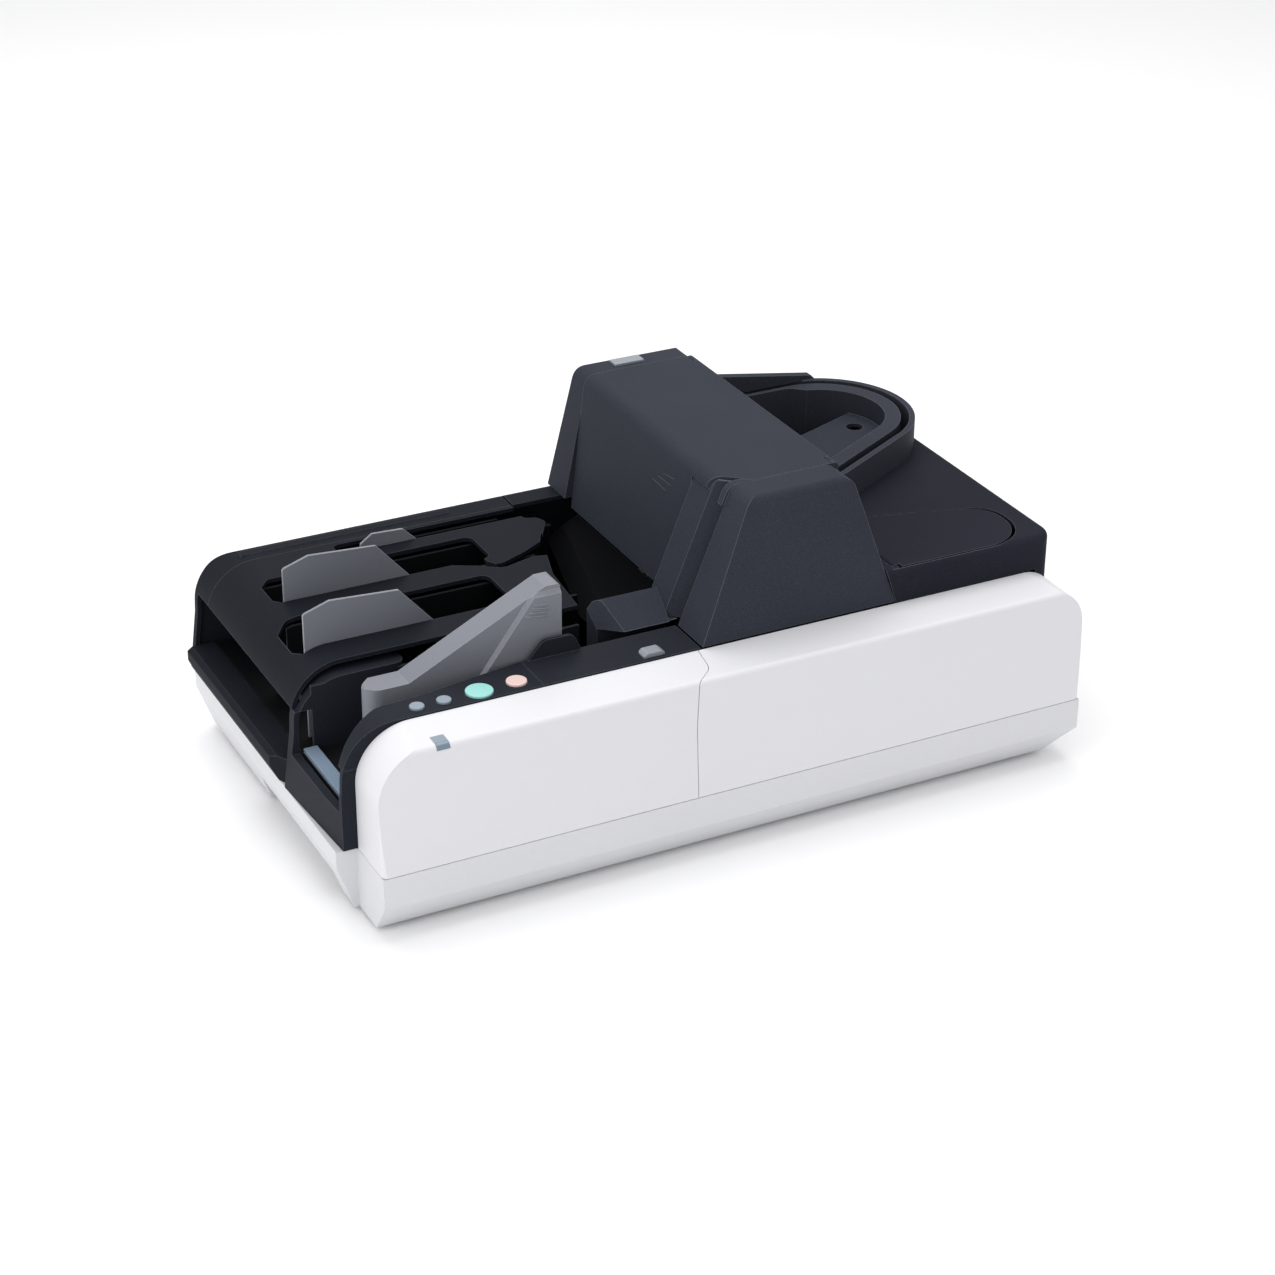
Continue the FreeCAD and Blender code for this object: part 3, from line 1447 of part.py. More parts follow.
def belt_path(radius, z0, z1):
    drive_x, drive_y, _ = rollers[driven_roller]
    span = math.hypot(drive_x - motor_x, drive_y - motor_y)
    across_x = (drive_y - motor_y) / span * radius
    across_y = (motor_x - drive_x) / span * radius
    straight = plan_slab([(motor_x + across_x, motor_y + across_y), (drive_x + across_x, drive_y + across_y),
                          (drive_x - across_x, drive_y - across_y), (motor_x - across_x, motor_y - across_y)],
                         z0, z1)
    ends = [upright_rod(x, y, z0, z1, radius) for x, y in ((motor_x, motor_y), (drive_x, drive_y))]
    return join([straight] + ends)


def drive_belt():
    loop = belt_path(pulley_radius + running_gap + belt_thickness, pulley_low + belt_margin,
                     pulley_low + pulley_height - belt_margin)
    return loop.cut(belt_path(pulley_radius + running_gap, 0, hump_height))


def main_board():
    shapes = [block(board_x0, board_x1, board_y0, board_y1, chassis_top + standoff,
                    chassis_top + standoff + board_thickness)]
    for x in (board_x0 + standoff, board_x1 - standoff):
        for y in (board_y0 + standoff, board_y1 - standoff):
            shapes.append(upright_rod(x, y, chassis_top, chassis_top + standoff, standoff / 2))
    top = chassis_top + standoff + board_thickness
    for x in (board_x0 + chip_size, board_x0 + chip_size + chip_pitch):
        for y in (board_y0 + chip_size, board_y0 + chip_size + chip_pitch):
            shapes.append(block(x, x + chip_size, y, y + chip_size, top, top + chip_height))
    return join(shapes)


# Ports and power switch in the far side cover
port_level = 53.0
usb_x = 400.0
usb_width = 12.0
usb_height = 11.0
usb_depth = 16.0
usb_wall = 0.8
inlet_x = 440.0
inlet_radius = 5.5
inlet_bore = 2.75
inlet_depth = 12.0
inlet_bore_depth = 9.5
switch_x = 470.0
rocker_width = 10.0
rocker_height = 14.0
rocker_clear = 0.9
rocker_proud = 1.0
rocker_tilt = 8.0


def port_holes():
    usb = block(usb_x - usb_width / 2, usb_x + usb_width / 2, body_width - 2 * wall, body_width + overrun,
                port_level - usb_height / 2, port_level + usb_height / 2)
    inlet = cross_rod(inlet_x, port_level, body_width - 2 * wall, body_width + overrun, inlet_radius)
    half_width = rocker_width / 2 + running_gap
    half_height = rocker_height / 2 + rocker_clear
    rocker = block(switch_x - half_width, switch_x + half_width, body_width - 2 * wall, body_width + overrun,
                   port_level - half_height, port_level + half_height)
    return [usb, inlet, rocker]


def usb_port():
    outer = block(usb_x - usb_width / 2, usb_x + usb_width / 2, body_width - usb_depth, body_width,
                  port_level - usb_height / 2, port_level + usb_height / 2)
    inner = block(usb_x - usb_width / 2 + usb_wall, usb_x + usb_width / 2 - usb_wall,
                  body_width - usb_depth + wall, body_width + overrun,
                  port_level - usb_height / 2 + usb_wall, port_level + usb_height / 2 - usb_wall)
    return outer.cut(inner)


def dc_inlet():
    outer = cross_rod(inlet_x, port_level, body_width - inlet_depth, body_width, inlet_radius)
    return outer.cut(cross_rod(inlet_x, port_level, body_width - inlet_bore_depth, body_width + overrun,
                               inlet_bore))


def power_switch():
    half = rocker_height / 2
    face = body_width + rocker_proud
    tilt = half * math.tan(math.radians(rocker_tilt))
    return end_slab([(face, port_level + half), (face - tilt, port_level),
                     (face - tilt - rocker_proud, port_level - half),
                     (body_width - wall, port_level - half + wall),
                     (body_width - wall - rocker_proud, port_level),
                     (body_width - wall, port_level + half - wall)],
                    switch_x - rocker_width / 2, switch_x + rocker_width / 2)


def write_all():
    os.makedirs("parts", exist_ok=True)
    shaft_places = [(x, y) for x, y, radius in rollers.values()] + [(motor_x, motor_y)]
    front_cover, rear_cover = near_covers()
    front_cover = front_cover.cut(status_window_form(fit_gap))
    windows = [block(x - radius, x + radius, 0, feed_line, roller_window_low, roller_window_high)
               for x, y, radius in list(rollers.values())[:2]]
    pieces = {
        "base_tray": base_tray(), "rubber_feet": rubber_feet(), "chassis_plate": chassis_plate(shaft_places),
        "chassis_screws": chassis_screws(), "near_front_cover": front_cover, "near_rear_cover": rear_cover,
        "status_window": status_window(), "far_side_cover": far_side_cover(port_holes()),
        "right_end_cover": right_end_cover(), "pocket_cover": pocket_cover(), "pocket_tub": pocket_tub(),
        "end_shelf": end_shelf(), "feed_end_frame": feed_end_frame(), "control_panel": control_panel(),
        "key_board": key_board(), "access_strip": access_strip(), "release_button": release_button(),
        "hopper_tray": hopper_tray(windows), "pusher_rail": pusher_rail(), "hopper_wall": hopper_wall(),
        "feed_rest_bar": feed_rest_bar(), "feed_pusher": feed_pusher(), "scan_frame": scan_frame(),
        "image_sensors": image_sensors(),
        "near_tower": near_tower(), "hump_lid": hump_lid(), "hump_lid_pin": hump_lid_pin(),
        "hump_rear_wall": hump_rear_wall(), "far_trim": far_trim(), "hump_latch": hump_latch(),
        "feed_fairing": feed_fairing(), "feed_chute": feed_chute(), "track_outer_wall": track_outer_wall(),
        "track_island": track_island(), "rear_deck": rear_deck(),
        "access_lid": access_lid(), "ink_cartridge": ink_cartridge(), "drive_motor": drive_motor(),
        "motor_pulley": motor_pulley(), "drive_belt": drive_belt(), "main_board": main_board(),
        "usb_port": usb_port(), "dc_inlet": dc_inlet(), "power_switch": power_switch()}
    for name, (x, y, radius) in keys.items():
        pieces[name] = key_cap(x, y, radius)
    for name, (x, y, radius) in rollers.items():
        pieces[name] = roller(name, x, y, radius)
    for number, guide in enumerate(pocket_guides(), 1):
        pieces["pocket_guide_" + str(number)] = guide
    for number, y in enumerate(gate_ys, 1):
        pieces["sort_gate_" + str(number)] = sort_gate(gate_x, y)
    for name, shape in pieces.items():
        save(name, shape)


write_all()
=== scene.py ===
import math

import bmesh
import bpy
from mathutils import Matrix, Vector


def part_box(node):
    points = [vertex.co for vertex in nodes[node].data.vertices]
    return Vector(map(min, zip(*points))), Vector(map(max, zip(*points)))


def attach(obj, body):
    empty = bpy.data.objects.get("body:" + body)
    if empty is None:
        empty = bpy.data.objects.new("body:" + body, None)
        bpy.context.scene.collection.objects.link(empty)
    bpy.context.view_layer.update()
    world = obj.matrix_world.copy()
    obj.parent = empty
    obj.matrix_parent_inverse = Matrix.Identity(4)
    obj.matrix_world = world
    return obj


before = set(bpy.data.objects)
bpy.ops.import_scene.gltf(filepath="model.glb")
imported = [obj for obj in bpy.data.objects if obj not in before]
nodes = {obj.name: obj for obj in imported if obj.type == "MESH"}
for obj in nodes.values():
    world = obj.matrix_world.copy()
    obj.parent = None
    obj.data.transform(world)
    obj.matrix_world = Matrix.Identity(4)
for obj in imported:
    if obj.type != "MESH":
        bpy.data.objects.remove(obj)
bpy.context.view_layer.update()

# The studio: a pale seamless floor and soft white light from above and the left.
# The camera stands where the photograph was taken, about 1.9 m away and a little raised.
camera_place = (-0.76431, -1.51300, 0.98286)
camera_turn = (61.965, -0.2445, -26.8632)
camera_lens = 81.31
floor_half = 30.0
floor_colour = (0.93, 0.93, 0.935, 1.0)

lens = bpy.data.cameras.new("studio_camera")
lens.lens = camera_lens
lens.sensor_width = 36.0
camera = bpy.data.objects.new("studio_camera", lens)
camera.location = camera_place
camera.rotation_euler = [math.radians(angle) for angle in camera_turn]
bpy.context.scene.collection.objects.link(camera)
bpy.context.scene.camera = camera
bpy.context.scene.view_settings.view_transform = "Standard"

floor_mesh = bpy.data.meshes.new("studio_floor")
floor_mesh.from_pydata([(-floor_half, -floor_half, 0), (floor_half, -floor_half, 0),
                        (floor_half, floor_half, 0), (-floor_half, floor_half, 0)], [], [(0, 1, 2, 3)])
floor = bpy.data.objects.new("studio_floor", floor_mesh)
bpy.context.scene.collection.objects.link(floor)

floor_paint = bpy.data.materials.new("studio_paper")
floor_paint.use_nodes = True
paper = floor_paint.node_tree
paper_shader = paper.nodes["Principled BSDF"]
paper_shader.inputs["Roughness"].default_value = 0.9
paper_shader.inputs["Specular IOR Level"].default_value = 0.1
paper_noise = paper.nodes.new("ShaderNodeTexNoise")
paper_noise.inputs["Scale"].default_value = 3.0
paper_tone = paper.nodes.new("ShaderNodeMix")
paper_tone.data_type = "RGBA"
paper_tone.inputs["A"].default_value = floor_colour
paper_tone.inputs["B"].default_value = (0.95, 0.95, 0.955, 1.0)
paper.links.new(paper_noise.outputs["Fac"], paper_tone.inputs["Factor"])
paper.links.new(paper_tone.outputs["Result"], paper_shader.inputs["Base Color"])
floor_mesh.materials.append(floor_paint)

world = bpy.data.worlds.new("studio_air")
world.use_nodes = True
world.node_tree.nodes["Background"].inputs["Color"].default_value = (1.0, 1.0, 1.0, 1.0)
world.node_tree.nodes["Background"].inputs["Strength"].default_value = 0.75
bpy.context.scene.world = world


def soft_light(name, place, target, size, power):
    lamp = bpy.data.lights.new(name, "AREA")
    lamp.shape = "RECTANGLE"
    lamp.size, lamp.size_y = size
    lamp.energy = power
    holder = bpy.data.objects.new(name, lamp)
    holder.location = place
    holder.rotation_euler = (Vector(target) - Vector(place)).to_track_quat("-Z", "Y").to_euler()
    bpy.context.scene.collection.objects.link(holder)


soft_light("overhead_softbox", (0.1, 0.3, 1.9), (0, 0, 0.1), (1.8, 1.4), 19.5)
soft_light("left_softbox", (-1.7, -0.5, 1.1), (0, 0, 0.1), (1.0, 1.2), 9.5)
soft_light("back_softbox", (0.5, 1.6, 1.3), (0, 0, 0.15), (1.6, 0.6), 3.5)
soft_light("front_softbox", (-0.5, -1.7, 0.5), (0, 0, 0.1), (0.5, 0.9), 1.1)

# Base tray: a deep white tub moulded in impact-resistant plastic with a fine matt spark finish.
# Its sides draw in towards the floor, and all the mouldings above share this grain and a lighter edge
# colour painted on as a highlight.


def shade(red, green, blue):
    """Screen colour to the light values a shader takes."""
    return tuple((value / 255) ** 2.2 for value in (red, green, blue)) + (1.0,)


def effect_group(name, inputs, outputs):
    group = bpy.data.node_groups.new(name, "ShaderNodeTree")
    for label, value in inputs:
        socket = group.interface.new_socket(label, in_out="INPUT", socket_type="NodeSocketFloat")
        socket.default_value = value
    for label, kind in outputs:
        group.interface.new_socket(label, in_out="OUTPUT", socket_type=kind)
    return group, group.nodes.new("NodeGroupInput"), group.nodes.new("NodeGroupOutput")


grain, grain_in, grain_out = effect_group("moulded_grain", [("Size", 900.0), ("Patch", 7.0)],
                                          [("Height", "NodeSocketFloat"), ("Tone", "NodeSocketFloat")])
grain_place = grain.nodes.new("ShaderNodeTexCoord")
spark = grain.nodes.new("ShaderNodeTexVoronoi")
pebble = grain.nodes.new("ShaderNodeTexNoise")
pebble.inputs["Detail"].default_value = 3.0
patch = grain.nodes.new("ShaderNodeTexNoise")
patch.inputs["Detail"].default_value = 2.0
both = grain.nodes.new("ShaderNodeMath")
both.operation = "ADD"
for texture in (spark, pebble, patch):
    grain.links.new(grain_place.outputs["Object"], texture.inputs["Vector"])
grain.links.new(grain_in.outputs["Size"], spark.inputs["Scale"])
grain.links.new(grain_in.outputs["Size"], pebble.inputs["Scale"])
grain.links.new(grain_in.outputs["Patch"], patch.inputs["Scale"])
grain.links.new(spark.outputs["Distance"], both.inputs[0])
grain.links.new(pebble.outputs["Fac"], both.inputs[1])
grain.links.new(both.outputs["Value"], grain_out.inputs["Height"])
speckle = grain.nodes.new("ShaderNodeMapRange")
speckle.inputs["From Min"].default_value = 0.1
speckle.inputs["From Max"].default_value = 0.9
speckle.inputs["To Min"].default_value = -0.3
speckle.inputs["To Max"].default_value = 0.5
mottle = grain.nodes.new("ShaderNodeMath")
mottle.operation = "ADD"
mottle.use_clamp = True
grain.links.new(spark.outputs["Distance"], speckle.inputs["Value"])
grain.links.new(patch.outputs["Fac"], mottle.inputs[0])
grain.links.new(speckle.outputs["Result"], mottle.inputs[1])
grain.links.new(mottle.outputs["Value"], grain_out.inputs["Tone"])

edge_samples = 4
flat_match = 0.995
corner_match = 0.86
# Softened edge: the bevel normal rounds the edges in the shading, and the Edge mask marks where a lighter
# colour is painted on as a highlight.
edge, edge_in, edge_out = effect_group("softened_edge", [("Width", 0.0006)],
                                       [("Normal", "NodeSocketVector"), ("Edge", "NodeSocketFloat")])
edge_round = edge.nodes.new("ShaderNodeBevel")
edge_round.samples = edge_samples
edge_flat = edge.nodes.new("ShaderNodeNewGeometry")
edge_match = edge.nodes.new("ShaderNodeVectorMath")
edge_match.operation = "DOT_PRODUCT"
edge_highlight_mask = edge.nodes.new("ShaderNodeMapRange")
edge_highlight_mask.inputs["From Min"].default_value = flat_match
edge_highlight_mask.inputs["From Max"].default_value = corner_match
edge.links.new(edge_in.outputs["Width"], edge_round.inputs["Radius"])
edge.links.new(edge_round.outputs["Normal"], edge_match.inputs[0])
edge.links.new(edge_flat.outputs["Normal"], edge_match.inputs[1])
edge.links.new(edge_match.outputs["Value"], edge_highlight_mask.inputs["Value"])
edge.links.new(edge_round.outputs["Normal"], edge_out.inputs["Normal"])
edge.links.new(edge_highlight_mask.outputs["Result"], edge_out.inputs["Edge"])

rough_spread = 0.12
coat_roughness = 0.12


def moulding(name, colour, patch_colour, highlight_colour, roughness, size, depth, width,
             coat=0.0, patch_size=7.0, shine=0.5):
    """Moulded surface: fine grain, cloudy tone, softened edges and a painted highlight in a lighter colour
    along the edges.
    """
    material = bpy.data.materials.new(name)
    material.use_nodes = True
    tree = material.node_tree
    shader = tree.nodes["Principled BSDF"]
    shader.inputs["Specular IOR Level"].default_value = shine
    shader.inputs["Coat Weight"].default_value = coat
    shader.inputs["Coat Roughness"].default_value = coat_roughness
    grained = tree.nodes.new("ShaderNodeGroup")
    grained.node_tree = grain
    grained.inputs["Size"].default_value = size
    grained.inputs["Patch"].default_value = patch_size
    softened = tree.nodes.new("ShaderNodeGroup")
    softened.node_tree = edge
    softened.inputs["Width"].default_value = width
    tone = tree.nodes.new("ShaderNodeMix")
    tone.data_type = "RGBA"
    tone.inputs["A"].default_value = colour
    tone.inputs["B"].default_value = patch_colour
    # Painted highlight: near the edges the colour is mixed towards the lighter highlight colour, standing
    # in for light caught on the edge.
    edge_highlight_paint = tree.nodes.new("ShaderNodeMix")
    edge_highlight_paint.data_type = "RGBA"
    edge_highlight_paint.inputs["B"].default_value = highlight_colour
    rough = tree.nodes.new("ShaderNodeMapRange")
    rough.inputs["To Min"].default_value = roughness - rough_spread / 2
    rough.inputs["To Max"].default_value = roughness + rough_spread / 2
    bump = tree.nodes.new("ShaderNodeBump")
    bump.inputs["Strength"].default_value = 1.0
    bump.inputs["Distance"].default_value = depth
    tree.links.new(grained.outputs["Tone"], tone.inputs["Factor"])
    tree.links.new(tone.outputs["Result"], edge_highlight_paint.inputs["A"])
    tree.links.new(softened.outputs["Edge"], edge_highlight_paint.inputs["Factor"])
    tree.links.new(edge_highlight_paint.outputs["Result"], shader.inputs["Base Color"])
    tree.links.new(grained.outputs["Tone"], rough.inputs["Value"])
    tree.links.new(rough.outputs["Result"], shader.inputs["Roughness"])
    tree.links.new(grained.outputs["Height"], bump.inputs["Height"])
    tree.links.new(softened.outputs["Normal"], bump.inputs["Normal"])
    tree.links.new(bump.outputs["Normal"], shader.inputs["Normal"])
    return material


def paint(material, *names):
    for name in names:
        for holder in nodes[name].material_slots:
            holder.material = material


tray_plastic = moulding("white_tray_plastic", shade(207, 208, 211), shade(213, 213, 216),
                        shade(226, 226, 229), roughness=0.5, size=1300.0, depth=0.00002, width=0.001)
paint(tray_plastic, "base_tray")

# Feet: four soft black rubber discs pressed into recesses under the corners of the tray.
# The rubber is dull and slightly mottled where it has picked up dust.
foot_rubber = moulding("foot_rubber", shade(34, 34, 36), shade(44, 44, 46), shade(66, 66, 68),
                       roughness=0.85, size=500.0, depth=0.00008, width=0.0005, patch_size=60.0)
paint(foot_rubber, "rubber_feet")

# Chassis: a zinc-plated steel plate on bosses in the tray, held by six pan-head screws.
# The plating shows the fine straight marks of the rolling mill.

plate_smoother = 0.08
plate_rougher = 0.1
streak_depth = 0.00001


def plated(name, colour, streak_colour, roughness, stretch):
    material = bpy.data.materials.new(name)
    material.use_nodes = True
    tree = material.node_tree
    shader = tree.nodes["Principled BSDF"]
    shader.inputs["Metallic"].default_value = 1.0
    place = tree.nodes.new("ShaderNodeTexCoord")
    along = tree.nodes.new("ShaderNodeMapping")
    along.inputs["Scale"].default_value = stretch
    streak = tree.nodes.new("ShaderNodeTexNoise")
    streak.inputs["Scale"].default_value = 1.0
    streak.inputs["Detail"].default_value = 4.0
    tone = tree.nodes.new("ShaderNodeMix")
    tone.data_type = "RGBA"
    tone.inputs["A"].default_value = colour
    tone.inputs["B"].default_value = streak_colour
    rough = tree.nodes.new("ShaderNodeMapRange")
    rough.inputs["To Min"].default_value = roughness - plate_smoother
    rough.inputs["To Max"].default_value = roughness + plate_rougher
    bump = tree.nodes.new("ShaderNodeBump")
    bump.inputs["Distance"].default_value = streak_depth
    tree.links.new(place.outputs["Object"], along.inputs["Vector"])
    tree.links.new(along.outputs["Vector"], streak.inputs["Vector"])
    tree.links.new(streak.outputs["Fac"], tone.inputs["Factor"])
    tree.links.new(tone.outputs["Result"], shader.inputs["Base Color"])
    tree.links.new(streak.outputs["Fac"], rough.inputs["Value"])
    tree.links.new(rough.outputs["Result"], shader.inputs["Roughness"])
    tree.links.new(streak.outputs["Fac"], bump.inputs["Height"])
    tree.links.new(bump.outputs["Normal"], shader.inputs["Normal"])
    return material


zinc = plated("zinc_plate", shade(176, 180, 184), shade(150, 154, 160), 0.34, (60.0, 900.0, 900.0))
paint(zinc, "chassis_plate", "chassis_screws")

# Near covers: two white mouldings that clip over the tray and meet at a fine curved seam.
# They are satin rather than glossy; the soft top edge catches the light and also carries a painted
# highlight in a lighter colour.
white_plastic = moulding("white_cover_plastic", shade(215, 215, 220), shade(219, 219, 223),
                         shade(232, 232, 235), roughness=0.44, size=1600.0, depth=0.000012, width=0.0007,
                         shine=0.4)
paint(white_plastic, "near_front_cover", "near_rear_cover")

# Status window: a smoke-blue acrylic insert that wraps over the cover's edge by the keys.
# It is moulded smooth and snaps in from behind.
window_acrylic = moulding("window_acrylic", shade(102, 119, 134), shade(109, 126, 141),
                          shade(160, 174, 187), roughness=0.18, size=1800.0, depth=0.000004, width=0.0004,
                          coat=0.5)
paint(window_acrylic, "status_window")

# Black covers: the far side, right end, pocket top and shelf are dyed black plastic with a satin
# spark finish that reads as a soft blue-black under white light.
black_satin = moulding("black_satin_plastic", shade(28, 30, 35), shade(40, 42, 48), shade(84, 88, 96),
                       roughness=0.52, size=1500.0, depth=0.000018, width=0.0007, shine=0.03)
paint(black_satin, "far_side_cover", "right_end_cover", "pocket_cover", "end_shelf")

# Pocket tub: the deep liner that catches the sorted cheques, in a flatter black than the covers.
# Nobody sees it except through the slots, so it has a coarser finish.
black_deep = moulding("black_inner_plastic", shade(13, 14, 17), shade(17, 18, 21), shade(40, 42, 47),
                      roughness=0.6, size=1200.0, depth=0.00002, width=0.0005, shine=0.18)
paint(black_deep, "pocket_tub")

# Pocket guides: smoked polycarbonate plates; their cut edges are painted much lighter as a highlight, so
# these show as light lines.
# They slide in the pockets to hold cheques of different lengths.
smoked = moulding("smoked_guide_plastic", shade(114, 117, 125), shade(120, 123, 131), shade(196, 199, 205),
                  roughness=0.3, size=1800.0, depth=0.000006, width=0.0006, coat=0.2, shine=0.3)
paint(smoked, "pocket_guide_1", "pocket_guide_2", "pocket_guide_3")

# Feed mouth: black frame, control panel, clip-on strip and divider wall round the hopper.
# The panel folds down over the left end in one piece and carries the keys.
panel_satin = moulding("panel_satin_plastic", shade(34, 36, 42), shade(46, 48, 55), shade(90, 94, 102),
                       roughness=0.5, size=1600.0, depth=0.000016, width=0.0006, shine=0.04)
paint(panel_satin, "feed_end_frame", "control_panel", "access_strip", "hopper_wall")
paint(black_deep, "hopper_tray")

# Keys: two small grey keys, a pale green start key and a pale orange stop key in soft-touch resin.
# Each is a moulded cap that stands a little proud and works a small switch on the board below.
key_grey = moulding("key_grey_resin", shade(124, 138, 150), shade(130, 144, 156), shade(166, 177, 187),
                    roughness=0.4, size=1400.0, depth=0.00001, width=0.0004)
key_green = moulding("key_green_resin", shade(142, 204, 198), shade(149, 210, 204), shade(180, 224, 220),
                     roughness=0.38, size=1400.0, depth=0.00001, width=0.0004)
key_orange = moulding("key_orange_resin", shade(222, 194, 186), shade(226, 199, 192), shade(236, 214, 209),
                      roughness=0.38, size=1400.0, depth=0.00001, width=0.0004)
paint(key_grey, "jog_key", "function_key")
paint(key_green, "start_key")
paint(key_orange, "stop_key")

# Circuit boards: green laminate under the keys and on the chassis, with a clear lacquer over the tracks.
# The cloudy pattern stands for the copper areas that show through.
board_green = moulding("board_laminate", shade(30, 96, 60), shade(40, 116, 72), shade(120, 130, 90),
                       roughness=0.35, size=600.0, depth=0.00002, width=0.0003, coat=0.4, patch_size=160.0)
paint(board_green, "key_board", "main_board")

# Release button and hump latch: grey unpainted catches that the operator presses.
# Both are moulded in mid grey and stand a little proud of the black plastic round them.
latch_plastic = moulding("latch_grey_plastic", shade(128, 133, 141), shade(134, 139, 147),
                         shade(172, 177, 184), roughness=0.42, size=1400.0, depth=0.000015, width=0.0005)
paint(latch_plastic, "release_button", "hump_latch")

# Rest bar: a tinted acrylic bar across the feed mouth that the cheques stand on.
# It is moulded in the same blue-grey acrylic as the status window.
bar_acrylic = moulding("rest_bar_acrylic", shade(118, 136, 154), shade(126, 144, 162), shade(190, 202, 214),
                       roughness=0.2, size=1800.0, depth=0.000004, width=0.0004, coat=0.5)
paint(bar_acrylic, "feed_rest_bar")

# Feed pusher: a hollow grey wedge that slides on a steel rail and keeps the cheques square.
# Four short ribs are moulded at the thumb end, where its near face bulges.
pusher_plastic = moulding("pusher_grey_plastic", shade(110, 113, 121), shade(121, 124, 132),
                          shade(182, 186, 194), roughness=0.44, size=1400.0, depth=0.000016, width=0.0006)
paint(pusher_plastic, "feed_pusher")
paint(zinc, "pusher_rail")
rib_width = 0.0011
rib_proud = 0.0009
rib_sink = 0.0004
rib_stops = 8
rib_facets = 6
end_sharpness = 8
blunt_end = 0.04
millimetres = 1000
building_corner = (241.0, 153.0, -3.0)


def place(x, y, z):
    """Millimetres from the machine's building corner to metres in the shared frame."""
    return Vector([(value - corner) / millimetres for value, corner in zip((x, y, z), building_corner)])


def raised_line(name, start, end, proud, width, sink, body, material):
    """Low rounded rib from start to end, standing proud in one direction."""
    along = (end - start).normalized()
    out = proud.normalized()
    side = along.cross(out)
    shape = bmesh.new()
    rings = []
    for stop in range(rib_stops + 1):
        share = stop / rib_stops
        taper = math.sqrt(max(blunt_end, 1 - abs(2 * share - 1) ** end_sharpness))
        centre = start + (end - start) * share
        ring = [centre + side * (width / 2 * taper * math.cos(math.pi * turn / rib_facets))
                + out * (proud.length * taper * math.sin(math.pi * turn / rib_facets))
                for turn in range(rib_facets + 1)]
        ring += [ring[-1] - out * sink, ring[0] - out * sink]
        rings.append([shape.verts.new(point) for point in ring])
    for first, second in zip(rings, rings[1:]):
        for number in range(len(first)):
            following = (number + 1) % len(first)
            shape.faces.new((first[number], first[following], second[following], second[number]))
    shape.faces.new(rings[0])
    shape.faces.new(list(reversed(rings[-1])))
    bmesh.ops.recalc_face_normals(shape, faces=shape.faces)
    mesh = bpy.data.meshes.new(name)
    shape.to_mesh(mesh)
    shape.free()
    for face in mesh.polygons:
        face.use_smooth = True
    mesh.materials.append(material)
    piece = bpy.data.objects.new(name, mesh)
    bpy.context.scene.collection.objects.link(piece)
    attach(piece, body)
    return piece


pusher_face = 77.8
pusher_ribs = [((137.9, 160.4), (147.8, 159.2)), ((135.8, 158.1), (147.7, 156.4)),
               ((133.7, 155.4), (147.4, 153.7)), ((131.0, 153.3), (147.3, 151.2))]
for number, ((x0, z0), (x1, z1)) in enumerate(pusher_ribs, 1):
    raised_line("pusher_rib_" + str(number), place(x0, pusher_face, z0), place(x1, pusher_face, z1),
                Vector((0, -rib_proud, 0)), rib_width, rib_sink, "feed_pusher_body",
                pusher_plastic)

# Scan frame and sensors: the black carrier under the hump holds two contact image sensors.
# Their bars are moulded in a smoother, glossier black than the carrier.
sensor_plastic = moulding("sensor_bar_plastic", shade(24, 24, 27), shade(30, 30, 33), shade(60, 60, 62),
                          roughness=0.3, size=1500.0, depth=0.00001, width=0.0004, coat=0.3)
paint(black_deep, "scan_frame")
paint(sensor_plastic, "image_sensors")

# Hump: near tower with its pillar, hinged lid, rear wall and far trim, all in the same satin black.
# The lid turns on a plated pin along its right edge, and its face has three short moulded marks.
hump_satin = moulding("hump_satin_plastic", shade(47, 50, 57), shade(61, 64, 72), shade(106, 111, 120),
                      roughness=0.52, size=1500.0, depth=0.000018, width=0.0008, shine=0.025)
paint(hump_satin, "near_tower", "hump_lid", "hump_rear_wall", "far_trim")
paint(zinc, "hump_lid_pin")
lid_foot_x = 256.0
lid_foot_z = 119.0
lid_lean = 11.0
lid_rise = 97.0
lid_slope = lid_lean / lid_rise
mark_proud = 0.00025
mark_width = 0.0007
mark_sink = 0.0003
lid_out = Vector((-1, 0, lid_slope)).normalized()
lid_marks = [((164.8, 184.9), (144.8, 183.9)), ((157.7, 189.3), (139.3, 189.8)),
             ((150.7, 193.6), (135.2, 195.8))]
for number, ends in enumerate(lid_marks, 1):
    start, end = (place(lid_foot_x + lid_slope * (z - lid_foot_z), y, z) for y, z in ends)
    raised_line("lid_mark_" + str(number), start, end, lid_out * mark_proud, mark_width, mark_sink,
                "hump_lid_body", hump_satin)

# Fairing and chute: the folded black slope below the lid and the sloping roof over the entry rollers.
# They are thin mouldings; the fairing is painted near black, much darker than the covers, as painted shade
# under the lid, and the chute shares the hump's black.
fairing_painted_shade = moulding("slope_satin_plastic", shade(6, 7, 9), shade(12, 13, 16), shade(48, 52, 60),
                       roughness=0.56, size=1400.0, depth=0.00002, width=0.0006, shine=0.03)
paint(fairing_painted_shade, "feed_fairing")
paint(hump_satin, "feed_chute")

# Turn: the raised outer wall and the island that lead the cheques round to the pockets.
# The gap between the two is the paper track.
paint(hump_satin, "track_outer_wall", "track_island")
paint(black_deep, "sort_gate_1", "sort_gate_2")

# Deck and access lid: the flat black top of the right end, with a rounded lid over the ink cartridge.
# The lid swings up on two trunnions at its left edge.
deck_satin = moulding("deck_satin_plastic", shade(34, 35, 42), shade(46, 47, 55), shade(98, 101, 109),
                      roughness=0.55, size=1500.0, depth=0.00002, width=0.0007, shine=0.02)
paint(deck_satin, "rear_deck", "access_lid")
paint(sensor_plastic, "ink_cartridge")

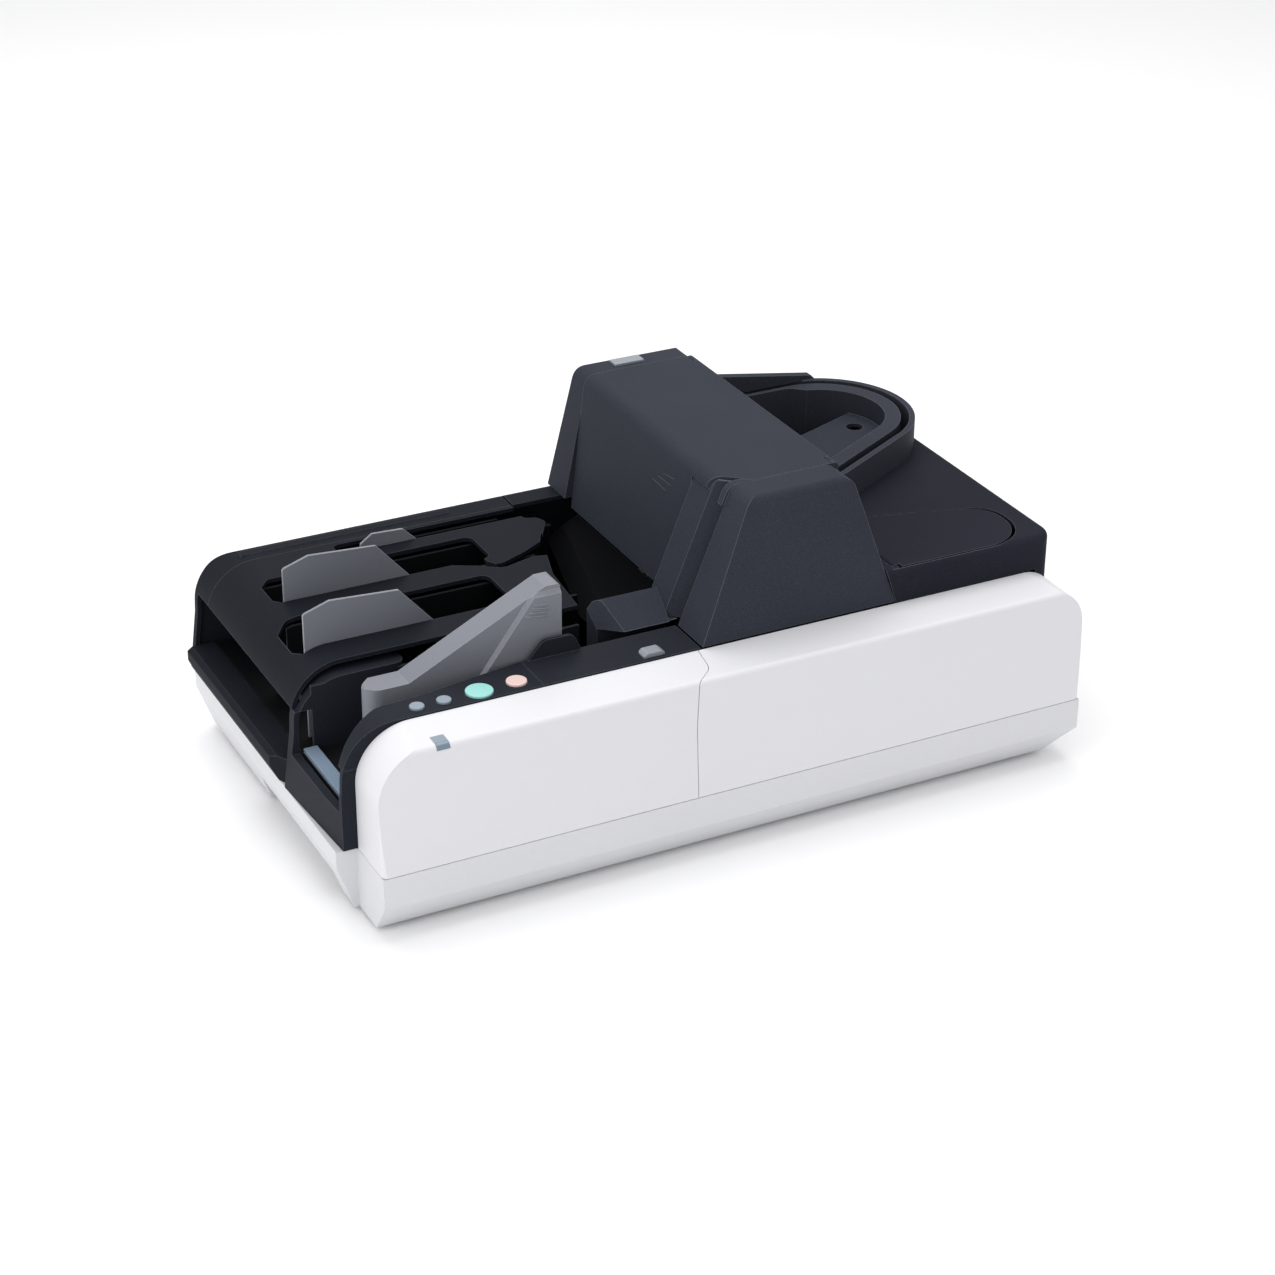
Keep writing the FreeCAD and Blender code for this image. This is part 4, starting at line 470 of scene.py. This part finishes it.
# Drive: a plated motor can with its pulley, a rubber belt and seven rubber-tyred rollers.
# The tyres are ground rubber on plated shafts, and each shaft ends in a small turned button.
rubber = moulding("ground_rubber", shade(34, 34, 37), shade(42, 42, 44), shade(70, 70, 72), roughness=0.8,
                  size=700.0, depth=0.00006, width=0.0004)
roller_names = ("pick_roller", "feed_roller", "retard_roller", "near_drive_roller", "near_pinch_roller",
                "far_drive_roller", "far_pinch_roller")
paint(rubber, "drive_belt", *roller_names)
paint(zinc, "drive_motor", "motor_pulley")
button_rise = 0.0005
button_skirt = 0.0015
shaft_cover = 0.0002
button_rim = 0.0003
button_steps = 28
top_band = 0.00005
same_place = 0.00001
for roller in roller_names:
    low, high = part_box(roller)
    centre = (low + high) / 2
    top = [vertex.co for vertex in nodes[roller].data.vertices if vertex.co.z > high.z - top_band]
    radius = max((Vector((point.x, point.y)) - Vector((centre.x, centre.y))).length for point in top)
    profile = [(radius + shaft_cover, -button_skirt), (radius + shaft_cover, -shaft_cover),
               (radius, shaft_cover), (radius * 0.7, button_rim), (radius * 0.6, button_rise),
               (radius * 0.25, button_rise),
               (radius * 0.18, shaft_cover), (0, shaft_cover)]
    shape = bmesh.new()
    line = [shape.verts.new((centre.x + across, centre.y, high.z + up)) for across, up in profile]
    edges = [shape.edges.new(pair) for pair in zip(line, line[1:])]
    bmesh.ops.spin(shape, geom=line + edges, cent=(centre.x, centre.y, high.z), axis=(0, 0, 1),
                   angle=math.tau, steps=button_steps, use_merge=True)
    bmesh.ops.remove_doubles(shape, verts=shape.verts, dist=same_place)
    bmesh.ops.recalc_face_normals(shape, faces=shape.faces)
    mesh = bpy.data.meshes.new(roller + "_button")
    shape.to_mesh(mesh)
    shape.free()
    mesh.materials.append(zinc)
    button = bpy.data.objects.new(roller + "_button", mesh)
    bpy.context.scene.collection.objects.link(button)
    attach(button, roller + "_body")

# Ports: a plated data socket, a round power inlet and a rocker switch at the foot of the far side.
# They are bought-in parts held by the cover's cut-outs.
paint(zinc, "usb_port")
paint(black_deep, "dc_inlet", "power_switch")
